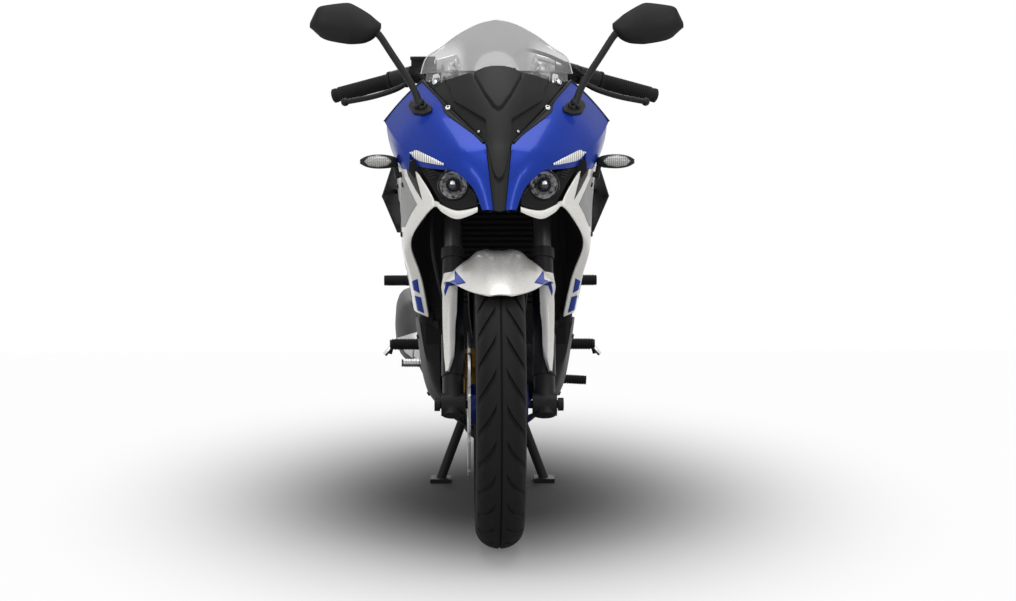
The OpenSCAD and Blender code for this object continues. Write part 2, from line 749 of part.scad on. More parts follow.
// Silencer sections: distance behind the front axle, side place, height, half width, half height
can_rows = [[876, 164, -2, 24, 24], [905, 170, 14, 36, 48], [980, 180, 34, 46, 68], [1090, 186, 52, 44, 66],
  [1190, 190, 66, 38, 54], [1236, 192, 72, 30, 42]];
module exhaust() {
  color(steel)
    pipe(header_path(), 18, [1, 0, 0], 14);
  color(dark) {
    difference() {
      loft([for (q = spline(can_rows, 3)) [for (i = [0:17]) let (c = cos(20 * i), s = sin(20 * i))
        P(-q[1] + q[3] * sign(c) * pow(abs(c), 0.8), q[0], q[2] + q[4] * sign(s) * pow(abs(s), 0.8))]]);
      translate(P(-190, 1210, 72))
        rotate([-90, 0, 0])
          cylinder(r = 18, h = 60);
    }
    rod(P(-160, 1020, 92), P(-152, 1046, 142), 7);
  }
}
arm_x = 104;
module swingarm() {
  color(dark)
    difference() {
      union() {
        cross_bar(-54, 54, pivot, 24);
        sides()
          loft(carried(spline([pivot + [38, 4, 0], pivot + [52, 120, -22],
            [arm_x + 2, rear_axle_y - 280, rear_axle_z + 40],
            [arm_x + 8, rear_axle_y - 120, rear_axle_z + 16], [arm_x + 8, rear_axle_y + 46, rear_axle_z]], 3),
            box_ring(50, 24, 6), [1, 0, 0]));
        cross_bar(-56, 56, pivot + [0, 124, -20], 22);
      }
      cross_bar(-140, 140, pivot, pivot_pin_r + run_gap);
      cross_bar(-160, 160, rear_axle, rear_axle_d / 2 + run_gap);
      sides()
        cross_bar(arm_x + 12, 160, bobbin_at, bobbin_bore_r + 3 + run_gap);
    }
}
bobbin_bore_r = 4;
bobbin_at = [0, rear_axle_y - 70, rear_axle_z + 10];
module rear_axle() {
  half = arm_x + 36;
  color(steel) {
    union() {
      cross_bar(-half, half, rear_axle, rear_axle_d / 2);
      for (s = [-1, 1])
        cross_bar(s * (half - 5) - 5, s * (half - 5) + 5, rear_axle, rear_axle_d / 2 + 6);
    }
    union() {
      cross_bar(-130, 130, pivot, pivot_pin_r);
      for (s = [-1, 1])
        cross_bar(s * 134 - 5, s * 134 + 5, pivot, pivot_pin_r + 6);
    }
    sides()
      difference() {
        union() {
          cross_bar(arm_x + 12 + seat_gap, arm_x + 44, bobbin_at, bobbin_bore_r + 3);
          cross_bar(arm_x + 21, arm_x + 27, bobbin_at, 13);
          cross_bar(arm_x + 38, arm_x + 44, bobbin_at, 13);
        }
        cross_bar(arm_x + 18, arm_x + 50, bobbin_at, bobbin_bore_r);
      }
  }
}
module monoshock() {
  low = pivot + [0, 124, -20 + 22 + seat_gap + 10];
  v = low - shock_top;
  color(blue)
    difference() {
      union() {
        rod(shock_top + v * 0.08, shock_top + v * 0.35, 22);
        translate(shock_top + v * 0.12)
          rotate([0, acos(v[2] / norm(v)), atan2(v[1], v[0])])
            rotate_extrude()
              polygon(concat([[0, 0]], [for (i = [0:24]) [i % 4 < 2 ? 34 : 27, norm(v) * 0.7 * i / 24]],
                [[0, norm(v) * 0.7]]));
        rod(shock_top, low, 9);
        cross_bar(-18, 18, shock_top, 16);
        cross_bar(-20, 20, low, 10);
      }
      cross_bar(-40, 40, shock_top, stand_pin_r + run_gap);
    }
}
// Chain run: the outline round both sprockets, at a distance q from the pitch line.
function run_points(q) = let (
    a = front_sprocket, b = rear_axle, ra = pitch_r(front_teeth), rb = pitch_r(rear_teeth),
    l = norm([b[1] - a[1], b[2] - a[2]]), tilt = atan2(b[2] - a[2], b[1] - a[1]), w = asin((rb - ra) / l),
    na = 3 * front_teeth, nb = 3 * rear_teeth)
  concat(
    [for (i = [0:nb]) let (f = -90 - w + tilt + (180 + 2 * w) * i / nb)
      [b[1] + (rb + q) * cos(f), b[2] + (rb + q) * sin(f)]],
    [for (i = [0:na]) let (f = 90 + w + tilt + (180 - 2 * w) * i / na)
      [a[1] + (ra + q) * cos(f), a[2] + (ra + q) * sin(f)]]);
link_h = 5.2;
module chain() {
  color(bronze)
    translate([chain_x, 0, 0])
      rotate([90, 0, 90]) {
        for (s = [-1, 1])
          translate([0, 0, s * 7 - 2])
            linear_extrude(4)
              difference() {
                polygon(run_points(link_h));
                polygon(run_points(-link_h + 0.4));
              }
        translate([0, 0, -7])
          linear_extrude(14)
            difference() {
              polygon(run_points(3.2));
              polygon(run_points(-3.2));
            }
      }
  color(steel)
    translate([chain_x, front_sprocket[1], front_sprocket[2]])
      rotate([0, 90, 0]) {
        cylinder(r = pitch_r(front_teeth) - 3.2 - seat_gap, h = sprocket_t, center = true);
        translate([0, 0, engine_left + seat_gap - chain_x])
          cylinder(r = 14, h = chain_x - engine_left - seat_gap);
      }
}
module rear_caliper() {
  color(black)
    union() {
      translate([-rear_disc_x, 0, 0])
        caliper(rear_axle + [0, -52, 66], 38, 34, 52);
      rod(rear_axle + [-88, -66, 62], rear_axle + [-88, -66, 18], 6);
      cross_bar(4 - arm_x + seat_gap, -82, rear_axle + [0, -66, 18], 8);
    }
}
module rear_hugger() {
  r = rear_r + 18;
  color(black) {
    panel([for (a = [-62:10:28]) [for (k = [0:6]) let (q = k / 3 - 1, s = r + panel_t - 34 * pow(abs(q), 2.4))
      rear_axle + [q * 72, s * sin(a), s * cos(a)]]], panel_t);
    sides()
      union() {
        rod(rear_axle + [70, (r - 28) * sin(-46), (r - 28) * cos(-46)], rear_axle + [arm_x - 2, -222, 90], 6);
        rod(rear_axle + [arm_x - 2, -222, 96], rear_axle + [arm_x - 2, -222, 59], 8);
      }
  }
}

// Tank, seats and tail
cap_d = 566;
cap_h = 648;
cap_r = 44;
tank_low = 428;
// Tank sections: distance behind the front axle, share of the width, bottom, share of the filler's height
tank_rows = [[444, 0.42, 480, 0.591], [458, 0.60, 464, 0.736], [496, 0.86, 442, 0.909],
  [550, 1.00, 430, 0.995], [620, 0.97, 428, 0.982], [690, 0.74, 430, 0.864], [750, 0.58, 438, 0.673],
  [788, 0.50, 450, 0.527], [797, 0.44, 458, 0.473]];
function tank_ring(q) =
  let (w = tank_w / 2 * q[1], n = q[2], t = tank_low + (cap_h - tank_low) * q[3]) [
    for (p = [[0, 0], [0.58, 0], [0.80, 0.10], [0.93, 0.32], [1, 0.56], [0.98, 0.68], [0.80, 0.87],
      [0.42, 0.975], [0, 1], [-0.42, 0.975], [-0.80, 0.87], [-0.98, 0.68], [-1, 0.56], [-0.93, 0.32],
      [-0.80, 0.10], [-0.58, 0]])
      P(w * p[0], q[0], n + (t - n) * p[1])];
module tank() {
  color(blue)
    difference() {
      union() {
        loft([for (q = spline(tank_rows, 2)) tank_ring(q)]);
        translate(P(0, cap_d, cap_h - 30))
          cylinder(r = cap_r + 10, h = 32);
        cross_bar(-22, -10, P(0, cap_d - cap_r - 8, cap_h + 9), 6);
        cross_bar(10, 22, P(0, cap_d - cap_r - 8, cap_h + 9), 6);
        for (s = [-16, 16])
          translate(P(s - 6, cap_d - cap_r - 14, cap_h - 20))
            cube([12, 12, 29]);
      }
      cross_bar(-30, 30, P(0, cap_d - cap_r - 8, cap_h + 9), 3 + run_gap);
    }
}
module filler_cap() {
  color(steel)
    union() {
      translate(P(0, cap_d, cap_h + 2 + seat_gap))
        cylinder(r = cap_r, h = 7);
      translate(P(0, cap_d, cap_h + 8))
        cylinder(r = cap_r - 12, h = 4);
      translate(P(-8, cap_d - cap_r - 8, cap_h + 5))
        cube([16, 16, 8]);
      cross_bar(-24, 24, P(0, cap_d - cap_r - 8, cap_h + 9), 3);
      cross_bar(-9, 9, P(0, cap_d - cap_r - 8, cap_h + 9), 6);
    }
}
// The base lines on which the two seats lie
function rider_base(d) = 448 + (d - 800) * 0.12;
function pillion_base(d) = 500 + (d - 1070) * 0.184;
// Seat sections: distance behind the front axle, share of the width, top
rider_rows = [[802, 0.52, 520], [850, 0.80, 516], [920, 1.00, 514], [1000, 0.98, 520], [1052, 0.84, 540],
  [1064, 0.76, 544]];
pillion_rows = [[1072, 0.70, 566], [1090, 0.76, 578], [1180, 0.74, 588], [1290, 0.58, 590],
  [1340, 0.40, 584]];
function seat_ring(q, n) = let (w = seat_w / 2 * q[1], t = q[2]) [
  for (p = [[0, 0], [0.5, 0], [0.92, 0], [1, 0.35], [0.96, 0.72], [0.80, 0.93], [0.45, 1], [0, 0.97],
    [-0.45, 1], [-0.80, 0.93], [-0.96, 0.72], [-1, 0.35], [-0.92, 0], [-0.5, 0]])
    P(w * p[0], q[0], n + (t - n) * p[1])];
module seats() {
  color(black) {
    loft([for (q = spline(rider_rows, 2)) seat_ring(q, rider_base(q[0]))]);
    loft([for (q = spline(pillion_rows, 2)) seat_ring(q, pillion_base(q[0]))]);
  }
}
// Tail sections: distance behind the front axle, half width at the top, half width below, top, bottom
tail_rows = [[802, 92, 76, rider_base(802), 394], [836, 112, 90, rider_base(836), 397],
  [880, 128, 100, rider_base(880), 402], [960, 134, 104, rider_base(960), 412],
  [1060, 120, 92, rider_base(1060), 424], [1067, 118, 92, rider_base(1067), 426],
  [1070, 116, 92, pillion_base(1070), 428], [1180, 108, 78, pillion_base(1180), 446],
  [1290, 92, 60, pillion_base(1290), 472], [1342, 84, 52, pillion_base(1342), 486],
  [1346, 83, 52, 566, 488], [1440, 66, 42, 574, 516], [1540, 40, 26, 582, 546]];
function tail_ring(q) = [
  for (p = [[0, 0, 1], [0.5, 0, 1], [0.92, 0, 1], [1, 0, 0.86], [0.9, 0.1, 0.6], [0, 1, 0.12],
    [0, 0.7, 0], [0, 0, 0], [0, -0.7, 0], [0, -1, 0.12], [-0.9, -0.1, 0.6], [-1, 0, 0.86], [-0.92, 0, 1],
    [-0.5, 0, 1]])
    P(q[1] * p[0] + q[2] * p[1], q[0], q[4] + (q[3] - seat_gap - q[4]) * p[2])];
// Side covers under the tail, from the front: distance behind the axle, then side place and height
// of the upper edge, of the crease and of the lower edge
cover_rows = [[830, 104, 441, 119, 408, 118, 372], [900, 126, 450, 135, 405, 136, 352],
  [970, 129, 458, 139, 411, 142, 357], [1040, 119, 466, 136, 421, 138, 382],
  [1110, 110, 476, 126, 444, 124, 426]];
cover_grid = straight([for (k = [1, 3, 5]) spline([for (q = cover_rows) P(q[k], q[0], q[k + 1])], 2)], 2);
module tail_cowl() {
  color(blue)
    union() {
      loft([for (q = tail_rows) tail_ring(q)]);
      sides()
        panel(cover_grid, panel_t);
    }
}
module tail_lamp() {
  color([0.6, 0.05, 0.05])
    loft([for (q = [[1540 + seat_gap, 38, 24, 580, 548], [1562, 30, 18, 578, 556]]) tail_ring(q)]);
}
// Plate holder: distance behind the front axle, height, half width
holder_rows = [[1396, 484, 60], [1470, 486, 64], [1560, 446, 60], [tail_end_d - 63, 340, 66],
  [tail_end_d - 4, 238, 82]];
module plate_holder() {
  g = spline([for (q = holder_rows) [for (k = [-2:2]) P(q[2] * k / 2, q[0], q[1] + (k * k - 4) * -1.5)]], 3);
  color(black)
    difference() {
      union() {
        panel(g, panel_t);
        translate([-95, overall_l / 2 - 6, front_axle_z + 236])
          cube([190, 6, 110]);
        loft([for (d = [1402, 1468]) let (t = 488 + 0.298 * (d - 1346) - 0.6)
          [P(-26, d, 480), P(26, d, 480), P(26, d, t), P(-26, d, t)]]);
      }
      for (s = [-1, 1])
        translate([s * plate_hole_x, overall_l / 2 - 20, front_axle_z + 316])
          rotate([-90, 0, 0])
            cylinder(r = plate_hole_r, h = 40);
    }
}
plate_hole_x = 70;
plate_hole_r = 3.5;
module grab_rails() {
  color(black)
    sides()
      pipe(spline([P(120.6, 1116, 494), P(134, 1150, 512), P(134, 1250, 548), P(118, 1380, 584),
        P(94, 1432, 584), P(73.6, 1448, 566)], 3), 9, [0, 0, 1], 10);
}

// Fairing
// Nose halves, from the chin to the screen: inner edge, outer edge, outward swell
nose_rows = [
  [[13, -46, 404], [35, -38, 403], 2], [[18, -26, 450], [51, -15, 445], 4],
  [[22, -6, 490], [80, 5, 472], 7], [[26, 14, 520], [112, 30, 494], 11],
  [[29, 30, 538], [147, 62, 503], 15], [[98, 118, 602], [182, 110, 516], 15],
  [[128, 180, 632], [212, 155, 534], 12], [[156, 246, 658], [238, 235, 571], 6]];
swell = unit([0.45, -0.62, 0.64]);
function nose_row(q) = [
  for (k = [0:6]) let (t = k / 6, p = q[0] + (q[1] - q[0]) * t + swell * q[2] * 4 * t * (1 - t))
    P(p[0], p[1], p[2])];
nose_face = flip(spline([for (q = nose_rows) nose_row(q)], 2));
module nose_cowl() {
  color(blue)
    sides()
      panel(nose_face, panel_t);
}
// Centre cowl, from the chin to the screen: edge, middle depth and height
centre_rows = [
  [[12, -46, 404], -52, 402], [[17, -26, 450], -34, 450], [[21, -6, 490], -15, 491],
  [[25, 14, 520], 4, 522], [[28, 30, 538], 18, 541], [[97, 118, 603], 60, 612],
  [[126, 180, 633], 92, 652], [[152, 242, 657.5], 120, 681]];
function centre_row(q) = [for (k = [0:5]) let (t = k / 5, s = t * t)
  P(q[0][0] * t, q[1] + (q[0][1] - q[1]) * s, q[2] + (q[0][2] - q[2]) * s)];
centre_grid = spline([for (q = centre_rows) centre_row(q)], 2);
module centre_cowl() {
  color(black)
    panel(flip(both_sides(centre_grid)), panel_t);
}
// Windscreen, upwards: edge, middle depth and height
screen_rows = [[[160, 238, 672], 120.6, 681.6], [[148, 246, 706], 174, 726], [[116, 257, 728], 207, 750],
  [[90, 262, 748], 230, 764], [[62, 266, 765], 247, 774], [[33, 268, 778], 259, 781],
  [[6, 269, 784], 266.5, 784.6]];
module windscreen() {
  color(smoke, 0.5)
    panel(flip(both_sides(spline([for (q = screen_rows) centre_row(q)], 2))), screen_t);
}
lamp_at = P(93, 36, 450);
// Lamp housings: side place, top depth and height, bottom depth and height
housing_rows = [[46, -16, 428, -18, 412], [62, 0, 446, -8, 406], [90, 18, 460, 10, 401],
  [118, 42, 474, 32, 414], [144, 70, 482, 62, 456], [164, 98, 490, 92, 482]];
housing_grid = spline([for (q = housing_rows) [for (k = [0:4]) let (t = k / 4)
  P(q[0], q[1] + (q[3] - q[1]) * t + 16 * t * (1 - t), q[2] + (q[4] - q[2]) * t)]], 2);
housing_depth = 60;
module lamp_housing() {
  color(black)
    sides()
      union() {
        difference() {
          slab(housing_grid, [0, housing_depth, 0]);
          translate(lamp_at + [0, -90, 0])
            rotate([-90, 0, 0])
              cylinder(r = lamp_r + 4 + seat_gap, h = 122);
        }
        rod(P(112, 84, 462), stay_hub + [112, 0, -32], 5);
        rod(stay_hub + [112, 0, -36], stay_hub + [112, 0, -stay_r - seat_gap], 6);
      }
}
stay_hub = P(0, 128, 544);
stay_r = 9;
module headlamps() {
  color(clear)
    sides() {
      translate(lamp_at + [0, 31, 0])
        rotate([90, 0, 0])
          rotate_extrude()
            polygon(concat([[0, 0], [lamp_r + 4, 0], [lamp_r + 4, 36], [lamp_r, 36]],
              [for (a = [0:15:90]) [lamp_r * cos(a), 36 + 16 * sin(a)]]));
      strip(strip_rows, 14);
    }
}
// Daytime strips and brow trims: side place, depth, top, bottom
strip_rows = [[112, 31, 492.7, 484], [130, 47, 497.2, 485], [150, 66, 502.2, 489], [170, 96, 510.2, 504]];
brow_rows = [[44, -26, 409, 399], [62, -16, 403, 390], [88, 0, 399, 382], [112, 20, 407, 392],
  [126, 36, 414, 402]];
module strip(rows, depth) {
  slab(spline([for (q = rows)
    [P(q[0], q[1], q[2]), P(q[0], q[1] - 3, (q[2] + q[3]) / 2), P(q[0], q[1], q[3])]], 3),
    [0, depth, 0]);
}
// Side fairing from the top down: inner edge of the front band, outer edge, rear edge
fairing_rows = [
  [[174, 100, 480], [198, 136, 478], [214, 345, 474]], [[133, 36, 416], [178, 112, 426], [212, 360, 416]],
  [[148, 66, 390], [188, 154, 382], [206, 385, 366]], [[184, 194, 318], [199, 214, 308], [196, 520, 296]],
  [[162, 254, 240], [182, 274, 234], [188, 580, 218]], [[146, 324, 144], [168, 334, 152], [176, 590, 140]]];
function three_row(q) = let (s = concat([q[0]], spline([q[1], (q[1] + q[2]) / 2 + [8, 0, 0], q[2]], 2)))
  [for (p = s) P(p[0], p[1], p[2])];
fairing_grid = spline([for (q = fairing_rows) three_row(q)], 3);
module side_fairing() {
  color(pearl)
    sides() {
      panel(fairing_grid, panel_t);
      strip(brow_rows, 26);
    }
}
// Side wings: front edge, rear edge
wing_rows = [[[225, 350, 470], [194, 616, 480]], [[247, 372, 403], [206, 710, 400]],
  [[214, 392, 322], [192, 606, 304]]];
wing_grid = straight([for (q = wing_rows)
  [for (k = [0:4]) let (p = q[0] + (q[1] - q[0]) * k / 4) P(p[0], p[1], p[2])]], 4);
module side_wings() {
  color(dark)
    sides()
      panel(wing_grid, panel_t);
}
// Belly pan from the side's top to the middle: inner edge of the front band, outer edge, rear edge
belly_rows = [
  [[124, 330, 134], [168, 340, 142], [170, 560, 118]], [[121, 384, 20], [150, 394, 30], [162, 590, 0]],
  [[116, 432, -44], [126, 440, -40], [142, 612, -72]], [[62, 508, -116], [66, 516, -124], [80, 690, -128]],
  [[20, 520, -126], [20, 526, -134], [20, 700, -133]]];
belly_half = spline([for (q = belly_rows) three_row(q)], 3);
module belly_pan() {
  color(black)
    panel(concat(belly_half, flip(mirrored(belly_half))), panel_t);
}
// Turn lamps: the bodies' sections as place along the lamp, half depth and half height
lamp_rows = [[-6, 6, 7], [8, 16, 14], [36, 22, 17], [62, 16, 13], [74, 3, 4]];
module turn_lamp(at) {
  loft([for (q = lamp_rows) [for (i = [0:11]) at + [q[0], q[1] * cos(30 * i), q[2] * sin(30 * i)]]]);
}
module indicators() {
  p = fairing_grid[1][2];
  n = normal_at(fairing_grid, 1, 2);
  c = p + n * 14 + [0, 0, 27];
  rear = P(94, 1566, 448);
  color(black)
    sides() {
      union() {
        rod(p + n * seat_gap, p + n * 14, 6);
        rod(p + n * 9, c, 5.4);
        turn_lamp(c + [0, -4, 4]);
      }
      union() {
        rod(P(62.4, 1560, 442), rear, 6);
        turn_lamp(rear);
      }
    }
}
// Mirror sections from the inner end: side place, half depth, lower edge, upper edge
mirror_rows = [[243, 6, 767, 778], [251, 14, 755, 785], [268, 22, 738, 799], [302, 27, 734, 819],
  [318, 27, 735, 822], [357, 23, 742, 817], [376, 17, 753, 812], [386, 10, 763, 794], [393, 4, 769, 779]];
// One section of a mirror: shares of the depth, forwards, and of the height
mirror_ring = [[-0.3, 1], [-0.8, 0.74], [-1, 0.42], [-0.72, 0.16], [-0.2, 0], [0.42, 0.03], [0.5, 0.5],
  [0.42, 0.97]];
module mirrors() {
  out = mirror_half_w - 393;
  p = nose_face[2][2];
  n = normal_at(nose_face, 2, 2);
  color(black)
    sides()
      union() {
        loft([for (q = spline(mirror_rows, 2)) [for (r = mirror_ring)
          P(q[0] + out, 214 + q[1] * r[0], q[2] + (q[3] - q[2]) * r[1])]]);
        pipe(spline([p + n * 6, p + [18, 14, 44], P(222, 200, 716), P(246 + out, 212, 752),
          P(262 + out, 214, 766)], 3), 8, [0, 1, 0], 10);
        rod(p + n * (seat_gap + 0.5), p + n * 12, 13);
      }
}
module fairing_stay() {
  neck = fork(0, -24, head_mid_u);
  color(dark)
    union() {
      rod(fork(0, fork_offset - stem_d / 2 - 12 - seat_gap, head_mid_u), neck, 13);
      translate(neck)
        sphere(14);
      rod(neck, stay_hub, 12);
      cross_bar(-120, 120, stay_hub, stay_r);
      rod(stay_hub, P(0, 186, 616), 11);
      sides()
        peg(stay_hub + [116, 0, 0], nose_face, 5, 3, panel_t + 0.5);
      translate(P(-70, 168, 602))
        rotate([30, 0, 0])
          cube([140, 66, 24]);
    }
}

// Pegs and pedals
module foot_pegs() {
  color(steel)
    sides() {
      union() {
        plate(122 + seat_gap, 132, [P(0, 808, 58), P(0, 858, 54), P(0, 850, -14), P(0, 790, -14),
          P(0, 768, 40)]);
        rod(P(126, 790, 32), P(160, 782, 30), 12);
        rod(P(158, 782, 30), P(238, 780, 30), 11);
        rod(P(232, 780, 30), P(238, 780, 8), 5);
      }
      union() {
        for (d = [930, 1046])
          let (r = rail_at(d)) {
            cross_bar(r[0] + 11.8 + seat_gap, r[0] + 32, r, 9);
            rod(r + [24, 0, 0], P(150, d < 1000 ? 1046 : 1054, 172), 8);
          }
        rod(P(142, 1050, 160), P(192, 1050, 152), 13);
        rod(P(190, 1050, 152), P(256, 1050, 152), 11);
      }
    }
}
module pedals() {
  color(steel) {
    union() {
      cross_bar(-150, -132 - seat_gap, P(0, 812, 4), 8);
      rod(P(-144, 812, 4), P(-146, 690, -2), 6);
      rod(P(-144, 690, -2), P(-209, 690, -2), 7.5);
    }
    union() {
      cross_bar(132 + seat_gap, 150, P(0, 812, 4), 8);
      rod(P(144, 812, 4), P(146, 640, -30), 6);
      rod(P(143, 640, -32), P(210, 640, -36), 9);
    }
  }
}

// Stands
module centre_stand() {
  foot = [stand_w / 2 - 24, stand_pivot[1] - stand_lead, 0];
  color(black)
    difference() {
      union() {
        cross_bar(-54, 54, stand_pivot, 15);
        sides() {
          rod([38, stand_pivot[1], stand_pivot[2]], foot + [0, 0, 6], 11);
          translate(foot + [-24, -30, 0])
            cube([48, 60, 10]);
        }
        cross_bar(-70, 70, stand_pivot + [0, -stand_lead * 0.35, -stand_pivot[2] * 0.35], 9);
      }
      cross_bar(-80, 80, stand_pivot, stand_pin_r + run_gap);
      translate([-200, stand_pivot[1] - 100, -40])
        cube([400, 200, 40]);
    }
}
module side_stand() {
  tip = side_pivot + side_rest * side_stand_l;
  color(black)
    difference() {
      union() {
        rod(side_pivot - side_axis() * 12, side_pivot + side_axis() * 12, 15);
        rod(side_pivot, tip, 10);
        rod(tip - side_rest * 4 - side_axis() * 6, tip - side_rest * 4 + side_axis() * 6, 24);
      }
      rod(side_pivot - side_axis() * 30, side_pivot + side_axis() * 30, side_pin_r + run_gap);
    }
}

frame();
engine();
radiator();
exhaust();
swingarm();
rear_axle();
monoshock();
chain();
rear_caliper();
rear_hugger();
tank();
seats();
tail_cowl();
tail_lamp();
plate_holder();
indicators();
grab_rails();
nose_cowl();
centre_cowl();
windscreen();
lamp_housing();
headlamps();
side_fairing();
side_wings();
belly_pan();
mirrors();
fairing_stay();
foot_pegs();
pedals();
yokes();
fork_tubes();
fork_legs();
front_axle();
front_guard();
clip_ons();
grips();
levers();
front_caliper();
hoses();
front_tyre();
front_rim();
front_disc();
rear_tyre();
rear_rim();
rear_disc();
centre_stand();
side_stand();
filler_cap();
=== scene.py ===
"""Sport bike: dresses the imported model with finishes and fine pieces, and sets the studio stage."""

import json
import math

import bmesh
import bpy
from mathutils import Matrix, Vector
from mathutils.bvhtree import BVHTree


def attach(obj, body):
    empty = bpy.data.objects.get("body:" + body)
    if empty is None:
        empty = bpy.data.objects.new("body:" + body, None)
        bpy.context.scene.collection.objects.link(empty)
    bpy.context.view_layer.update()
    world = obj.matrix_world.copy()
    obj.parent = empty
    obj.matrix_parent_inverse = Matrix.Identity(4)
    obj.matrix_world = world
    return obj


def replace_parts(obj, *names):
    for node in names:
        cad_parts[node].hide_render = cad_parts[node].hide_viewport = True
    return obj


bl_info = {
    "name": "Sport bike dresser",
    "version": (1, 0, 0),
    "blender": (4, 5, 0),
    "location": "View3D > Sidebar > Sport bike",
    "description": "Adds finishes, treads, lamps, trims and a studio stage to the packed sport bike",
    "category": "Object",
}

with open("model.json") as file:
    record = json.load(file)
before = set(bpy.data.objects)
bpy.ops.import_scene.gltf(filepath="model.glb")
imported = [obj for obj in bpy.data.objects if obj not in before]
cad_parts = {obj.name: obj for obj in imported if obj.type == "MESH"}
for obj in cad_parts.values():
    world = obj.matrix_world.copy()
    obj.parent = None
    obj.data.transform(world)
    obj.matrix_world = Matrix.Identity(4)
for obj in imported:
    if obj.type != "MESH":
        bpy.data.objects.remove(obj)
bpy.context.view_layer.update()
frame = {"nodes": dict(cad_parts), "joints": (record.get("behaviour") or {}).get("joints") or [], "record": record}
BODY_OF = {node: body for body, nodes in frame["record"]["behaviour"]["bodies"].items() for node in nodes}
JOINT_AT = {joint["name"]: Vector(joint["pos_m"]) for joint in frame["joints"]}
FRONT_AXLE = JOINT_AT["front_wheel_spin"]
REAR_AXLE = JOINT_AT["rear_wheel_spin"]
PICTURE_WIDE, PICTURE_HIGH = 1016, 601
SENSOR = 36.0
# Points closer than WELD become one and edges under TINY go, in metres
WELD, TINY = 2e-5, 1e-6


def place(x, d, h):
    """A place x to the left, d behind and h above the front axle, from millimetres."""
    return Vector((x / 1000, FRONT_AXLE.y + d / 1000, FRONT_AXLE.z + h / 1000))


def metres(profile):
    """Radius and distance of a turned profile, from millimetres."""
    return [(r / 1000, t / 1000) for r, t in profile]


def mirrored(at, side):
    """A vector, or its mirror image for side -1."""
    return Vector((at.x * side, at.y, at.z))


def tag_of(side):
    """Ending of a piece's name: the bike's left is above zero."""
    return "_left" if side > 0 else "_right"


class PaintSettings(bpy.types.PropertyGroup):
    """Colours of the bike's finishes."""

    blue: bpy.props.FloatVectorProperty(name="Body blue", description="Paint of the nose, tank and tail",
                                        subtype="COLOR", default=(0.004, 0.030, 0.290))
    wheel_blue: bpy.props.FloatVectorProperty(name="Wheel blue", description="Powder coat of the wheels",
                                              subtype="COLOR", default=(0.010, 0.020, 0.165))
    pearl: bpy.props.FloatVectorProperty(name="Pearl", description="Paint of the mudguard and the fins",
                                         subtype="COLOR", default=(0.790, 0.768, 0.730))
    black: bpy.props.FloatVectorProperty(name="Satin black", description="Moulded black plastic",
                                         subtype="COLOR", default=(0.0105, 0.0105, 0.0102))
    grey: bpy.props.FloatVectorProperty(name="Dark grey",
                                        description="Moulded grey plastic of the side wings",
                                        subtype="COLOR", default=(0.026, 0.026, 0.026))
    tyre: bpy.props.FloatVectorProperty(
        name="Tyre", description="Tyre rubber", subtype="COLOR", default=(0.0075, 0.0075, 0.0073))
    bronze: bpy.props.FloatVectorProperty(
        name="Bronze", description="Anodised caliper", subtype="COLOR", default=(0.460, 0.225, 0.030))


class StageSettings(bpy.types.PropertyGroup):
    """The camera and the studio."""

    distance: bpy.props.FloatProperty(
        name="Camera distance", description="From the camera to its target", unit="LENGTH", default=6.0)
    elevation: bpy.props.FloatProperty(name="Elevation", description="Height angle of the camera",
                                       subtype="ANGLE", default=math.radians(6.1))
    azimuth: bpy.props.FloatProperty(name="Azimuth", description="Turn of the camera round the bike",
                                     subtype="ANGLE", default=math.radians(-1.3))
    target: bpy.props.FloatVectorProperty(name="Target", description="Where the camera looks",
                                          subtype="XYZ", unit="LENGTH", default=(0.0185, -0.7035, 0.511))
    lens: bpy.props.FloatProperty(
        name="Lens", description="Focal length on a 36 mm sensor, in millimetres", default=103.7)
    # Grey of the painted shadow pool on the floor under the bike.
    floor_shadow: bpy.props.FloatProperty(
        name="Floor shade", description="Grey of the floor under the bike", subtype="FACTOR", default=0.05)


class TyreSettings(bpy.types.PropertyGroup):
    """Tread of both tyres."""

    repeats: bpy.props.IntProperty(name="Repeats", description="Tread blocks round a tyre", default=26)
    depth: bpy.props.FloatProperty(name="Groove depth", description="Depth of the tread", unit="LENGTH",
                                   default=0.0045)
    width: bpy.props.FloatProperty(name="Groove width", description="Width of a groove", unit="LENGTH",
                                   default=0.0125)
    drop: bpy.props.FloatProperty(name="Groove drop", description="How far a groove runs round the tyre",
                                  unit="LENGTH", default=0.060)


class Socket:
    """An output socket whose operators add Math nodes."""

    def __init__(self, graph, link):
        self.graph = graph
        self.link = link

    def __add__(self, other):
        return self.graph.math("ADD", self, other)

    __radd__ = __add__

    def __sub__(self, other):
        return self.graph.math("SUBTRACT", self, other)

    def __rsub__(self, other):
        return self.graph.math("SUBTRACT", other, self)

    def __mul__(self, other):
        return self.graph.math("MULTIPLY", self, other)

    __rmul__ = __mul__

    def step(self, low, high):
        """A soft step from 0 at low to 1 at high."""
        return self.graph.add("ShaderNodeMapRange", {"interpolation_type": "SMOOTHSTEP"},
                              {"Value": self, "From Min": low, "From Max": high}, "Result")


